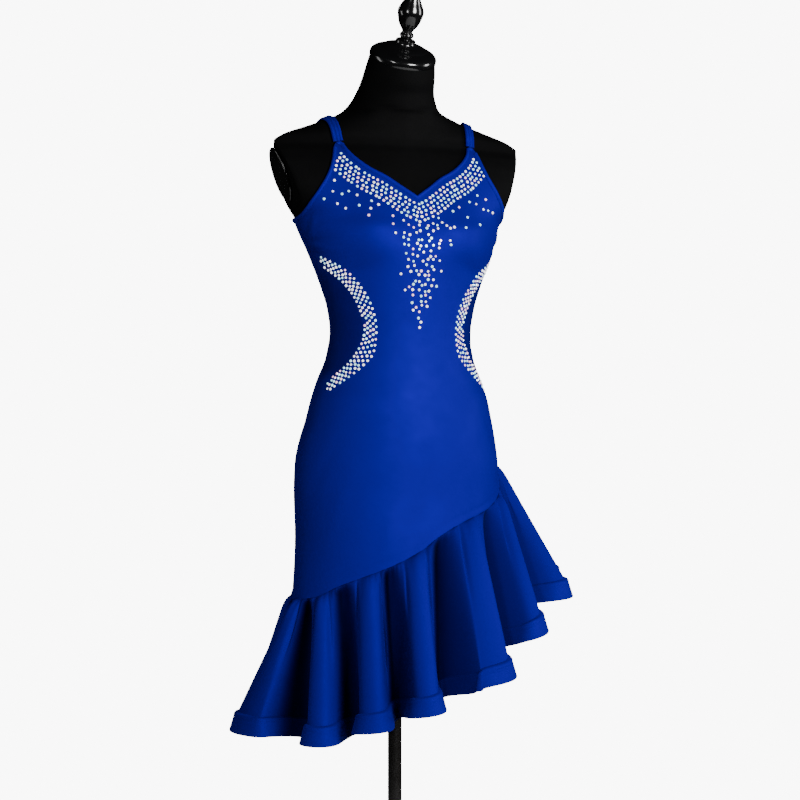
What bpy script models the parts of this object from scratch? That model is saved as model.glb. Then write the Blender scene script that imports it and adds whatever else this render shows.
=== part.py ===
"""Salsa dance dress on a limbless dress form.

A strappy satin dress hugs a turned form: a sheath with cups and a V neck, a slanting gathered
flounce of tall flutes and a stiff hem band that steps out below it.  The form stands on a pole
and a round base.  Metres, +Z up, the front faces -Y and the wearer's left is +X.  The origin is
the middle of the base's underside, on the pole's axis.
"""

import bpy
import numpy as np

# ---------------------------------------------------------------- driving dimensions (metres)
SEAM_GAP = 0.0003          # parting between neighbouring pieces
FLOUNCE_GAP = 0.0010       # measured straight down, where the seam slants
CLOTH = 0.0012             # wall of the satin
EASE = 0.0024              # from the form's skin to the inside of the satin
BAND_CLOTH = 0.0020        # wall of the stiff hem band
BINDING_WIDTH = 0.0060
BINDING_CLOTH = 0.0010
STRAP_WIDTH = 0.0165
STRAP_CLOTH = 0.0016
STRAP_RIB = 0.0006         # height of each of the strap's three ribs
STRAP_EASE = 0.0032        # from the form's skin to the underside of the strap

CUP_ACROSS = 0.085         # middle of each cup from the centre front
CUP_HEIGHT = 1.188
CUP_SPREAD = (0.052, 0.047)
FORM_CUP = 0.009           # how far the form's bust stands out of its plain section
DRESS_CUP = 0.013          # and the dress's own cups

ARM_FOOT = 1.222           # height at which the flat arm ends begin
ARM_FOOT_ACROSS = 0.1745   # their distance from the middle there
ARM_SLOPE = 0.345          # how much further out they lie for each metre up
ARM_FOOT_SOFT = 0.004      # how softly the upright side below turns into that slope
ARM_TOP_OF_SIDE = 1.10     # below this the arm ends have no part in the section
ARM_SLACK = 0.0055         # the satin rounds the arm end's corner this much further out
ARM_ROUND = 0.005          # and bends round it this softly
ARM_PLATE = (0.046, 0.031) # half height and half depth of the oval plates
ARM_PLATE_MIDDLE = (0.003, 1.285)
ARM_PLATE_THICK = 0.004

FORM_BOTTOM = 0.79
SHOULDER_LEVELS = (1.309, 1.3275, 1.342, 1.357, 1.374)  # more of its sections, where it turns in
NECK_LEAN = 27.0           # degrees that the neck's top leans forward
NECK_TOP = (-0.033, 1.4765)

SIDE_GRID_LEVEL = 1.15     # below this the panels' columns run straight down
FLUTE_COLUMNS = 12         # columns of the flounce's grid for each flute
GATHERS_PER_FLUTE = 3
GATHER_DEPTH = 0.0024
GATHER_REACH = 0.22        # share of the flounce's drop over which the gathers fade
MEANDER = 0.070            # sideways swing that rounds the flutes and steepens their sides
PUFF_RUN = 0.04            # share of the drop over which it does so
SEAM_PUFF = 0.0110         # how far the gathered cloth springs out just below its seam
BAND_HEIGHT = 0.029
BAND_SHELF = 0.0065        # how far the band steps out
BAND_FLARE = 0.0075        # and how much further its lower edge stands
BAND_SHELF_DROP = 0.004
VALLEY_LIFT = 0.001        # the hem is a little higher between the flutes
FRONT_FLOUNCE = (-0.5, 6.5)

POLE_RADIUS = 0.0115
BASE_RADIUS = 0.175

# ---------------------------------------------------------------- tables
# Horizontal sections of the form: height, half width, reach forward, reach back, where the
# widest line lies front to back, corner exponent (2 is an ellipse), forward lean in degrees.
SECTION_COLUMNS = ("z", "half_width", "front", "back", "ridge", "corner", "lean")
SECTIONS = (
    (0.580, 0.1765, 0.122, 0.109, -0.015, 2.00, 0.0),
    (0.700, 0.1705, 0.122, 0.109, -0.015, 2.00, 0.0),
    (0.770, 0.1720, 0.121, 0.113, -0.014, 2.00, 0.0),
    (0.820, 0.1693, 0.122, 0.117, -0.013, 2.00, 0.0),
    (0.850, 0.1640, 0.122, 0.114, -0.016, 2.00, 0.0),
    (0.885, 0.1550, 0.120, 0.106, -0.023, 2.00, 0.0),
    (0.920, 0.1467, 0.116, 0.095, -0.025, 2.00, 0.0),
    (0.950, 0.1366, 0.111, 0.083, -0.022, 2.00, 0.0),
    (0.990, 0.1215, 0.106, 0.067, -0.023, 2.00, 0.0),
    (1.030, 0.1161, 0.105, 0.059, -0.026, 2.00, 0.0),
    (1.070, 0.1217, 0.106, 0.062, -0.029, 2.00, 0.0),
    (1.110, 0.1344, 0.109, 0.071, -0.029, 2.00, 0.0),
    (1.160, 0.1542, 0.113, 0.082, -0.027, 2.00, 0.0),
    (1.190, 0.1667, 0.111, 0.088, -0.020, 2.00, 0.0),
    (1.215, 0.1765, 0.104, 0.091, -0.014, 2.00, 0.0),
    (1.240, 0.1970, 0.096, 0.094, -0.016, 2.00, 0.0),
    (1.270, 0.2170, 0.0850, 0.096, -0.020, 1.90, 0.0),
    (1.300, 0.2270, 0.0740, 0.095, -0.023, 1.60, 0.0),
    (1.320, 0.2290, 0.0660, 0.094, -0.018, 1.40, 0.0),
    (1.335, 0.2195, 0.0600, 0.092, -0.013, 1.25, 0.0),
    (1.349, 0.1990, 0.0580, 0.090, -0.014, 1.20, 0.0),
    (1.3655, 0.1535, 0.0580, 0.088, -0.012, 1.25, 0.0),
    (1.382, 0.1095, 0.0600, 0.084, -0.004, 1.45, 0.0),
    (1.3985, 0.0812, 0.0640, 0.078, 0.009, 1.75, 5.0),
    (1.415, 0.0680, 0.0660, 0.0650, 0.000, 2.00, 12.0),
    (1.435, 0.0610, 0.0690, 0.0470, -0.011, 2.00, 19.0),
    (1.457, 0.0578, 0.0765, 0.0285, -0.024, 2.00, 25.0),
    (1.4765, 0.0545, 0.0816, 0.0156, -0.033, 2.00, 27.0),
)

# Upper edge of the dress from the centre outwards: distance across and height.  The second row
# range is the peak that the strap is sewn to, the last rows run down the armhole.
EDGE_COLUMNS = ("across", "z")
FRONT_NECK = ((0.0, 1.2470), (0.024, 1.2630), (0.046, 1.2785), (0.072, 1.2925), (0.095, 1.3110),
              (0.1080, 1.3325))
FRONT_PEAK = ((0.1080, 1.3325), (0.1145, 1.3355), (0.1210, 1.3315))
FRONT_ARMHOLE = ((0.1210, 1.3315), (0.1275, 1.3180), (0.1320, 1.3030), (0.1385, 1.2870),
                 (0.1505, 1.266), (0.163, 1.246), (0.172, 1.229), (0.176, 1.218), (0.1765, 1.215))
BACK_NECK = ((0.0, 1.180), (0.022, 1.184), (0.044, 1.200), (0.062, 1.228), (0.076, 1.266))
BACK_PEAK = ((0.076, 1.266), (0.084, 1.268), (0.092, 1.266))
BACK_ARMHOLE = ((0.092, 1.266), (0.104, 1.246), (0.122, 1.230), (0.146, 1.219),
                (0.168, 1.215), (0.1765, 1.215))

# The flounce's seam on the sheath: angle from the centre front towards the wearer's left, height.
SEAM = ((-105, 0.598), (-78, 0.601), (-64, 0.606), (-48, 0.624), (-27, 0.645), (-12, 0.663),
        (0, 0.682), (9, 0.701), (26, 0.724), (42, 0.738), (53, 0.749), (73, 0.773),
        (95, 0.817), (118, 0.828), (145, 0.800), (175, 0.748), (205, 0.690), (232, 0.632))

# One row for each flute: angle of its crest at the seam, angle of its crest at the hem, radius
# there, angle and radius of the valley after it, height of the hem.
FOLD_COLUMNS = ("seam", "crest", "crest_radius", "valley", "valley_radius", "hem")
FOLDS = (
    (-84, -81, 0.257, -64, 0.208, 0.3785),
    (-58, -51, 0.243, -41, 0.182, 0.386),
    (-28, -29, 0.240, -17, 0.172, 0.408),
    (-3, -6, 0.241, 4, 0.178, 0.434),
    (29, 18, 0.264, 28, 0.190, 0.483),
    (64, 38, 0.264, 48, 0.205, 0.549),
    (92, 60, 0.279, 71, 0.215, 0.600),
    (114, 84, 0.278, 96, 0.215, 0.614),
    (134, 107, 0.270, 118, 0.205, 0.598),
    (154, 129, 0.262, 140, 0.195, 0.564),
    (173, 151, 0.254, 162, 0.185, 0.522),
    (192, 173, 0.250, 184, 0.180, 0.482),
    (211, 195, 0.250, 206, 0.182, 0.446),
    (230, 217, 0.252, 228, 0.188, 0.420),
    (249, 239, 0.254, 256, 0.210, 0.378),
)

# Shoulder strap: angle round the shoulder from the front, distance across.
STRAP_PATH = ((30.2, 0.1155), (55.0, 0.1190), (90.0, 0.1285), (130.0, 0.1180), (165.0, 0.0960),
              (188.0, 0.0850), (205.6, 0.0840))
STRAP_CORE = (0.020, 1.300)
STRAP_STATIONS = 14

# Turned shapes: radius and distance along the axis.
CAP = ((0.0545, 0.0), (0.0555, 0.004), (0.0550, 0.010), (0.0500, 0.0150), (0.0420, 0.0180),
       (0.0385, 0.0190), (0.0370, 0.0210), (0.0290, 0.0245), (0.0170, 0.0265), (0.0160, 0.0335))
FINIAL_START = 0.0338
FINIAL = ((0.0080, 0.0), (0.0085, 0.004), (0.0115, 0.005), (0.0115, 0.0105), (0.0085, 0.0120),
          (0.0092, 0.0165), (0.0165, 0.0260), (0.0203, 0.0390), (0.0219, 0.0475),
          (0.0200, 0.0540), (0.0112, 0.0710), (0.0070, 0.0900), (0.0030, 0.1080))
SOCKET = ((0.0170, 0.0), (0.0170, 0.038), (0.0200, 0.042), (0.0450, 0.044), (0.0450, 0.050))
SOCKET_BORE = 0.0118
BASE = ((0.175, 0.0), (0.175, 0.005), (0.171, 0.009), (0.110, 0.014), (0.045, 0.020),
        (0.024, 0.028), (0.020, 0.044))
BASE_SEAT = 0.0443


def columns(rows, names):
    return dict(zip(names, np.array(rows, float).T))


BODY = columns(SECTIONS, SECTION_COLUMNS)
FOLD = columns(FOLDS, FOLD_COLUMNS)
FLUTES = len(FOLDS)


# ---------------------------------------------------------------- curves
def smooth(at, xs, ys):
    """A cubic through the points that never overshoots them, flat beyond both ends."""
    xs, ys = np.asarray(xs, float), np.asarray(ys, float)
    step = np.diff(xs)
    slope = np.diff(ys) / step
    before, after = slope[:-1], slope[1:]
    total = np.where(before + after == 0, 1, before + after)
    inner = np.where(before * after > 0, 2 * before * after / total, 0)
    tangent = np.concatenate([slope[:1], inner, slope[-1:]])
    at = np.clip(at, xs[0], xs[-1])
    i = np.clip(np.searchsorted(xs, at, side="right") - 1, 0, len(step) - 1)
    f = (at - xs[i]) / step[i]
    rise = (1 - f) ** 2 * (1 + 2 * f) * ys[i] + f ** 2 * (3 - 2 * f) * ys[i + 1]
    return rise + step[i] * (f * (1 - f) ** 2 * tangent[i] - f ** 2 * (1 - f) * tangent[i + 1])


def round_table(u, values, turn=0.0, per_unit=1):
    """A smooth value along the row of flutes, which closes on itself and adds turn each time."""
    count = len(values)
    index = np.arange(-3, count + 4)
    wrapped = np.asarray(values)[index % count] + turn * (index // count)
    return smooth(np.asarray(u) * per_unit, index, wrapped)


def seam_height(angle):
    """Height of the flounce's seam at an angle, in degrees from the centre front."""
    rows = np.array(SEAM, float)
    turned = np.concatenate([rows[:, 0] - 360, rows[:, 0], rows[:, 0] + 360])
    return smooth(angle, turned, np.tile(rows[:, 1], 3))


# ---------------------------------------------------------------- the form's skin
def arm_reach(z):
    """How far from the middle the flat arm ends lie, upright below their foot."""
    rise = z - ARM_FOOT
    return ARM_FOOT_ACROSS + ARM_SLOPE * (rise + np.hypot(rise, ARM_FOOT_SOFT)) / 2


def skin(angle, z, cup, slack=0.0):
    """Point of the section at height z: a superellipse whose front and back differ, trimmed by
    the arm ends, with two soft cups, leaning forward in the neck."""
    a, front, back, ridge, corner, lean = (
        smooth(z, BODY["z"], BODY[name]) for name in SECTION_COLUMNS[1:])
    across, ahead = np.sin(np.radians(angle)), np.cos(np.radians(angle))
    depth = np.maximum(1 - np.abs(across) ** corner, 0) ** (1 / corner)
    x = a * across
    y = np.where(ahead > 0, ridge - (front + ridge) * depth, ridge + (back - ridge) * depth)
    limit = np.where(z > ARM_TOP_OF_SIDE, arm_reach(z) + slack, 1.0)
    soft = ARM_ROUND if slack else 0.0
    x = np.sign(x) * (np.abs(x) + limit - np.hypot(np.abs(x) - limit, soft)) / 2
    side = (np.abs(x) - CUP_ACROSS) / CUP_SPREAD[0]
    y = y - np.where(ahead > 0, cup * np.exp(-side ** 2 - ((z - CUP_HEIGHT) / CUP_SPREAD[1]) ** 2), 0)
    return np.stack([x, y, z + (y - ridge) * np.tan(np.radians(lean))], axis=-1)


def unit(v):
    return v / np.linalg.norm(v, axis=-1, keepdims=True)


def cloth(angle, z, lift):
    """A point lifted off the form's skin along its outward normal, where the dress lies."""
    angle, z = np.broadcast_arrays(np.asarray(angle, float), np.asarray(z, float))
    turn, climb = 0.6, 0.004

    def dressed(angle, z):
        return skin(angle, z, DRESS_CUP, ARM_SLACK)

    round_it = dressed(angle + turn, z) - dressed(angle - turn, z)
    up_it = dressed(angle, z + climb) - dressed(angle, z - climb)
    return dressed(angle, z) + unit(np.cross(round_it, up_it)) * lift


def edge_angle(rows, back=False):
    """Turns an edge's rows of (across, z) into angles and heights on the skin."""
    across, z = np.array(rows, float).T
    share = np.clip(across / smooth(z, BODY["z"], BODY["half_width"]), -1, 1)
    angle = np.degrees(np.arcsin(share))
    return (180 - angle if back else angle), z


def resample(points, count):
    """count + 1 points spread evenly along a run of (angle, height) pairs."""
    points = np.array(points, float)
    spread = np.linalg.norm(np.diff(points, axis=0) * (0.0026, 1.0), axis=1)
    length = np.concatenate([[0], np.cumsum(spread)])
    at = np.linspace(0, length[-1], count + 1)
    return np.stack([smooth(at, length, points[:, k]) for k in (0, 1)], axis=-1)


# ---------------------------------------------------------------- meshes
def material(name, colour, roughness, metallic=0.0):
    finish = bpy.data.materials.new(name)
    finish.use_nodes = True
    shader = finish.node_tree.nodes["Principled BSDF"]
    shader.inputs["Base Color"].default_value = (*colour, 1.0)
    shader.inputs["Roughness"].default_value = roughness
    shader.inputs["Metallic"].default_value = metallic
    return finish


def solid(name, points, faces, finish):
    mesh = bpy.data.meshes.new(name)
    mesh.from_pydata(np.asarray(points).reshape(-1, 3).tolist(), [], faces)
    mesh.validate()
    mesh.shade_smooth()
    mesh.set_sharp_from_angle(angle=np.radians(40))
    mesh.materials.append(finish)
    piece = bpy.data.objects.new(name, mesh)
    bpy.context.scene.collection.objects.link(piece)
    return piece


def wall(name, inner, outer, finish):
    """A closed wall between two grids of points, rows running up and columns running round
    anticlockwise as seen from above.  Its faces are triangles, cut along one diagonal on the
    wearer's left and the other on the right, so that pieces made from the same points nest."""
    rows, cols = inner.shape[:2]
    index = np.arange(rows * cols).reshape(rows, cols)
    low_left, low_right = index[:-1, :-1], index[:-1, 1:]
    top_left, top_right = index[1:, :-1], index[1:, 1:]
    rising = np.stack([low_left, low_right, top_right, low_left, top_right, top_left], -1)
    falling = np.stack([low_left, low_right, top_left, low_right, top_right, top_left], -1)
    across = inner[:-1, :-1, 0] + inner[1:, 1:, 0]
    out_face = np.where(across[..., None] > 0, rising, falling).reshape(-1, 3)
    other = rows * cols
    rim = np.concatenate([index[0, :], index[1:, -1], index[-1, -2::-1], index[-2:0:-1, 0]])
    after = np.roll(rim, -1)
    band = np.stack([rim + other, after + other, after, rim + other, after, rim],
                    -1).reshape(-1, 3)
    faces = np.concatenate([out_face, out_face[:, ::-1] + other, band])
    return solid(name, np.concatenate([outer.reshape(-1, 3), inner.reshape(-1, 3)]),
                 faces.tolist(), finish)


def ring_faces(rings, segments, base=0):
    """Faces of a stack of rings, each with the same number of points, joined one above another."""
    index = base + np.arange(rings * segments).reshape(rings, segments)
    right = np.roll(index, -1, axis=1)
    return np.stack([index[:-1], right[:-1], right[1:], index[1:]], -1).reshape(-1, 4).tolist()


def turned(name, profile, start, lean, segments, finish, bore=0.0):
    """A profile of (radius, distance) turned about an axis that leans forward from start."""
    angle = np.linspace(0, 2 * np.pi, segments, endpoint=False)
    around = np.stack([np.cos(angle), np.sin(angle)], -1)
    profile = list(profile)
    if bore:
        profile = [(bore, profile[0][1])] + profile + [(bore, profile[-1][1])]
    tilt = np.radians(lean)
    forward = np.array([0.0, np.cos(tilt), np.sin(tilt)])
    axis = np.array([0.0, -np.sin(tilt), np.cos(tilt)])
    rings = [np.array(start) + r * (around[:, :1] * (1.0, 0, 0) + around[:, 1:] * forward) + s * axis
             for r, s in profile]
    faces = ring_faces(len(rings), segments)
    if bore:
        last = (len(rings) - 1) * segments
        index = np.arange(segments)
        right = np.roll(index, -1)
        faces += np.stack([last + index, last + right, right, index], -1).tolist()
    else:
        faces.append(list(range(segments))[::-1])
        faces.append([(len(rings) - 1) * segments + i for i in range(segments)])
    return solid(name, np.concatenate(rings), faces, finish)


# ---------------------------------------------------------------- the form and its stand
def make_torso(finish):
    """Sections of the skin one above another, closed by a flat underside and the neck's top."""
    upper = BODY["z"][BODY["z"] > SIDE_GRID_LEVEL]
    heights = np.unique(np.concatenate([[FORM_BOTTOM], PANEL_LEVELS, upper, SHOULDER_LEVELS]))
    segments = 40
    angle = np.arange(segments) * 360.0 / segments
    rings = skin(angle[None, :], heights[:, None], FORM_CUP)
    faces = ring_faces(len(heights), segments)
    faces.append(list(range(segments))[::-1])
    faces.append([(len(heights) - 1) * segments + i for i in range(segments)])
    return solid("torso", rings, faces, finish)


def make_arm_plate(name, side, finish):
    """An oval plate with a rounded rim on the flat arm end."""
    slope = np.arctan(ARM_SLOPE)
    middle_y, middle_z = ARM_PLATE_MIDDLE
    out = np.array([side * np.cos(slope), 0, -np.sin(slope)])
    up = np.array([side * np.sin(slope), 0, np.cos(slope)])
    middle = np.array([side * arm_reach(middle_z), middle_y, middle_z])
    angle = np.linspace(0, 2 * np.pi, 24, endpoint=False)
    oval = (np.cos(angle)[:, None] * up * ARM_PLATE[0]
            + np.sin(angle)[:, None] * np.array([0, side, 0]) * ARM_PLATE[1])
    levels = ((0.97, SEAM_GAP), (1.0, 0.3 * ARM_PLATE_THICK), (1.0, 0.7 * ARM_PLATE_THICK),
              (0.93, ARM_PLATE_THICK))
    rings = [middle + oval * share + out * height for share, height in levels]
    faces = ring_faces(len(rings), 24)
    faces.append(list(range(24))[::-1])
    faces.append([(len(rings) - 1) * 24 + i for i in range(24)])
    return solid(name, np.concatenate(rings), [face[::-1] for face in faces], finish)


def along_neck(distance):
    lean = np.radians(NECK_LEAN)
    return (0.0, NECK_TOP[0] - distance * np.sin(lean), NECK_TOP[1] + distance * np.cos(lean))


def make_stand(metal):
    socket_foot = FORM_BOTTOM - SEAM_GAP - SOCKET[-1][1]
    turned("socket", SOCKET, (0, 0, socket_foot), 0, 24, metal, bore=SOCKET_BORE)
    pole_top = FORM_BOTTOM - SEAM_GAP
    turned("pole", ((POLE_RADIUS, BASE_SEAT), (POLE_RADIUS, pole_top)), (0, 0, 0), 0, 24, metal)
    turned("base", BASE, (0, 0, 0), 0, 28, metal)


# ---------------------------------------------------------------- the sheath
PANEL_LEVELS = np.array([0.87, 0.915, 0.955, 0.99, 1.02, 1.05, 1.085, 1.12, SIDE_GRID_LEVEL])
SKIRT_ROWS = 3
BODICE_ROWS = 7
FAN_HASTE = 3             # how soon above the bust the columns swing to the edge's points


def half_edge(neck, peak, armhole, counts, back=False):
    """The edge from the centre to the side seam as (angle, height), corners kept."""
    runs = [resample(np.stack(edge_angle(rows, back), -1), count)
            for rows, count in zip((neck, peak, armhole), counts)]
    return np.concatenate([runs[0], runs[1][1:], runs[2][1:]])


FRONT_COUNTS = (8, 2, 7)
BACK_COUNTS = (6, 2, 6)
SIDE_PART = 0.08           # degrees that each panel stops short of the side seam


def full_edge(back):
    """Upper edge right across a panel, anticlockwise as seen from above."""
    if back:
        half = half_edge(BACK_NECK, BACK_PEAK, BACK_ARMHOLE, BACK_COUNTS, True)
        half[-1, 0] = 90 + SIDE_PART
        other = half[1:] * (-1, 1) + (360, 0)
        return np.concatenate([half[::-1], other])
    half = half_edge(FRONT_NECK, FRONT_PEAK, FRONT_ARMHOLE, FRONT_COUNTS)
    half[-1, 0] = 90 - SIDE_PART
    return np.concatenate([half[:0:-1] * (-1, 1), half])


def panel_columns(back):
    """Angles of a panel's columns below the bust."""
    count = len(full_edge(back))
    start = 90 if back else -90
    return np.linspace(start + SIDE_PART, start + 180 - SIDE_PART, count)


def inner_line(edge):
    """The edge moved into the panel by the binding's width, square to itself on the skin: the
    step is split into a turn and a climb by the skin's two tangents."""
    here = cloth(edge[:, 0], edge[:, 1], EASE)
    by_angle = cloth(edge[:, 0] + 0.5, edge[:, 1], EASE) - cloth(edge[:, 0] - 0.5, edge[:, 1], EASE)
    by_height = (cloth(edge[:, 0], edge[:, 1] + 0.002, EASE)
                 - cloth(edge[:, 0], edge[:, 1] - 0.002, EASE)) / 0.004
    inward = unit(np.cross(unit(np.gradient(here, axis=0)), np.cross(by_angle, by_height)))
    step = inward * BINDING_WIDTH
    tangents = np.stack([by_angle, by_height], -1)
    metric = np.einsum("nki,nkj->nij", tangents, tangents)
    pull = np.einsum("nki,nk->ni", tangents, step)
    shift = np.linalg.solve(metric, pull[..., None])[..., 0]
    shift[[0, -1], 0] = 0
    return edge + shift


def panel_grid(back):
    """Angles and heights of a panel: level rows at the waist, fanned to both slanting edges; the
    last two rows are the binding's inner line and the edge."""
    edge = full_edge(back)
    foot = panel_columns(back)
    hem = seam_height(foot)
    inner = inner_line(edge)
    skirt = np.linspace(0, 1, SKIRT_ROWS, endpoint=False)[:, None]
    low_z = hem + (PANEL_LEVELS[0] - hem) * skirt
    mid_z = np.repeat(PANEL_LEVELS[:, None], len(foot), axis=1)
    rise = np.linspace(0, 1, BODICE_ROWS)[1:, None]
    top_z = SIDE_GRID_LEVEL + (inner[:, 1] - SIDE_GRID_LEVEL) * rise
    top_angle = foot + (inner[:, 0] - foot) * (1 - (1 - rise) ** FAN_HASTE)
    z = np.concatenate([low_z, mid_z, top_z, edge[None, :, 1]])
    straight = np.repeat(foot[None, :], len(low_z) + len(mid_z), axis=0)
    return np.concatenate([straight, top_angle, edge[None, :, 0]]), z


def make_panel(name, back, finish):
    angle, z = panel_grid(back)
    wall(name, cloth(angle, z, EASE), cloth(angle, z, EASE + CLOTH), finish)


def make_binding(name, angle, z, finish):
    """A binding on the outer face of the panels' last two rows, moved out from their points."""
    lift = EASE + CLOTH + SEAM_GAP
    wall(name, cloth(angle, z, lift), cloth(angle, z, lift + BINDING_CLOTH), finish)


def make_bindings(finish):
    front, back = (np.stack(panel_grid(side))[:, -2:] for side in (False, True))
    front_middle, back_middle = front.shape[2] // 2, back.shape[2] // 2
    corner, outer = FRONT_COUNTS[0], sum(FRONT_COUNTS[:2])
    back_corner, back_outer = BACK_COUNTS[0], sum(BACK_COUNTS[:2])
    make_binding("neck_binding", *front[:, :, front_middle - corner:front_middle + corner + 1],
                 finish)
    make_binding("back_neck_binding",
                 *back[:, :, back_middle - back_corner:back_middle + back_corner + 1], finish)
    left = np.concatenate([front[:, :, front_middle + outer:],
                           back[:, :, 1:back_middle - back_outer + 1]], axis=2)
    turned_back = back[:, :, back_middle + back_outer:-1].copy()
    turned_back[0] -= 360
    right = np.concatenate([turned_back, front[:, :, :front_middle - outer + 1]], axis=2)
    make_binding("armhole_binding_left", *left, finish)
    make_binding("armhole_binding_right", *right, finish)


def shoulder(across, turn, lift):
    """Where a ray from the shoulder's core, turned from the front over the top, leaves the form,
    found by halving the range, and the form's outward normal there."""
    def level(x, y, z):
        a, front, back, ridge, corner = (
            smooth(z, BODY["z"], BODY[name]) for name in SECTION_COLUMNS[1:6])
        depth = np.where(y < ridge, front + ridge, back - ridge)
        return (np.abs(x) / a) ** corner + (np.abs(y - ridge) / depth) ** corner - 1

    ray = np.stack([0 * turn, -np.cos(np.radians(turn)), np.sin(np.radians(turn))], -1)
    core = np.stack([across, across * 0 + STRAP_CORE[0], across * 0 + STRAP_CORE[1]], -1)
    near, far = np.zeros(len(turn)), np.full(len(turn), 0.16)
    for _ in range(40):
        half = (near + far) / 2
        inside = level(*(core + ray * half[:, None]).T) < 0
        near, far = np.where(inside, half, near), np.where(inside, far, half)
    point = core + ray * near[:, None]
    step = 0.003
    rise = [level(*(point + d).T) - level(*(point - d).T) for d in np.eye(3) * step]
    return point + unit(np.stack(rise, -1)) * lift, unit(np.stack(rise, -1))


def make_strap(name, side, finish):
    """A ribbon over the shoulder with three ribs along it: stations along the path, a profile
    across it."""
    path = np.array(STRAP_PATH)
    turn = np.linspace(path[0, 0], path[-1, 0], STRAP_STATIONS)
    point, outward = shoulder(smooth(turn, path[:, 0], path[:, 1]), turn, STRAP_EASE)
    along = unit(np.gradient(point, axis=0))
    across = unit(np.cross(along, outward))
    share = np.linspace(-0.5, 0.5, 7)
    rib = STRAP_RIB * (np.arange(7) % 2)
    base = point[:, None] + across[:, None] * (share * STRAP_WIDTH)[None, :, None]
    face = base + outward[:, None] * (STRAP_CLOTH + rib)[None, :, None]
    flip = np.array([side, 1.0, 1.0])
    if side < 0:
        base, face = base[:, ::-1], face[:, ::-1]
    wall(name, base * flip, face * flip, finish)


# ---------------------------------------------------------------- the flounce
def flounce_seam_height(angle):
    """Top of the flounce: the panels' own lower edges, straight from column to column."""
    height = np.empty(np.shape(angle))
    for back in (False, True):
        foot = panel_columns(back)
        start = 90 if back else -90
        turned_in = (angle - start) % 360 + start
        here = turned_in <= start + 180
        height = np.where(here, np.interp(turned_in, foot, seam_height(foot)), height)
    return height - FLOUNCE_GAP


def flounce(u, drop):
    """A point of the flounce.  u counts flutes round the hem with a crest at each whole number,
    drop runs from 0 at the seam to 1 at the hem band.  A straight line leads from the seam to a
    meandering hem, whose crests and valleys stand at their own angles and radii; small gathers
    ripple it at the seam and fade below."""
    seam_angle = round_table(u, FOLD["seam"], 360)
    top = flounce_seam_height(seam_angle)
    start = cloth(seam_angle, top, EASE + CLOTH / 2)
    crest = 0.5 + 0.5 * np.cos(2 * np.pi * u)
    valley_radius = round_table(u - 0.5, FOLD["valley_radius"])
    radius = valley_radius + (round_table(u, FOLD["crest_radius"]) - valley_radius) * crest
    swing = u + MEANDER * np.sin(4 * np.pi * u)
    stations = np.stack([FOLD["crest"], FOLD["valley"]], -1).ravel()
    angle = np.radians(round_table(swing, stations, 360, per_unit=2))
    end_z = round_table(u, FOLD["hem"]) + BAND_HEIGHT + VALLEY_LIFT * (1 - crest)
    x = start[..., 0] + (radius * np.sin(angle) - start[..., 0]) * drop
    y = start[..., 1] + (-radius * np.cos(angle) - start[..., 1]) * drop
    z = top + (end_z - top) * drop
    ripple = GATHER_DEPTH * np.cos(2 * np.pi * GATHERS_PER_FLUTE * u) * np.exp(-drop / GATHER_REACH)
    spring = ripple + SEAM_PUFF * (1 - np.exp(-drop / PUFF_RUN)) * (1 - drop)
    away = unit((cloth(seam_angle, top, EASE + CLOTH) - cloth(seam_angle, top, EASE)) * (1, 1, 0))
    return np.stack([x + away[..., 0] * spring, y + away[..., 1] * spring, z], -1)


def flounce_normal(u, drop):
    """Outward normal of the flounce; level at the seam, so that its top edge stays level."""
    small = 0.004
    low, high = np.clip(drop - small, 0, 1), np.clip(drop + small, 0, 1)
    round_it = flounce(u + small, drop) - flounce(u - small, drop)
    up_it = flounce(u, low) - flounce(u, high)
    normal = np.cross(round_it, up_it)
    normal[..., 2] *= np.minimum(drop / 0.05, 1)
    return unit(normal)


FLOUNCE_ROWS = np.array([1.0, 0.75, 0.5, 0.28, 0.13, 0.05, 0.0])
SPLIT_PART = 0.0035        # share of a flute that each half stops short of the joining seam


def flounce_columns(start, end):
    count = int(round((end - start) * FLUTE_COLUMNS))
    u = np.linspace(start, end, count + 1)
    u[0] += SPLIT_PART
    u[-1] -= SPLIT_PART
    return u


def make_flounce(name, span, finish):
    u, drop = np.meshgrid(flounce_columns(*span), FLOUNCE_ROWS)
    middle, normal = flounce(u, drop), flounce_normal(u, drop) * CLOTH / 2
    wall(name, middle - normal, middle + normal, finish)


def make_hem_band(name, span, finish):
    """The band starts at the flounce's lower edge, steps out on a short shelf and falls a little
    flared."""
    u = flounce_columns(*span)
    end = flounce(u, np.ones_like(u)) - (0, 0, FLOUNCE_GAP)
    normal = flounce_normal(u, np.ones_like(u))
    level = unit(normal * (1, 1, 0))
    fullness = (0.72 + 0.28 * np.cos(2 * np.pi * u))[:, None]
    shelf = end + level * BAND_SHELF * fullness - (0, 0, BAND_SHELF_DROP)
    hem = end + level * (BAND_SHELF + BAND_FLARE) * fullness - (0, 0, BAND_HEIGHT)
    middle = np.stack([hem, shelf, end])
    half = np.stack([level * BAND_CLOTH / 2, unit(level + (0, 0, 0.6)) * BAND_CLOTH / 2,
                     normal * CLOTH / 2])
    wall(name, middle - half, middle + half, finish)


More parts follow.
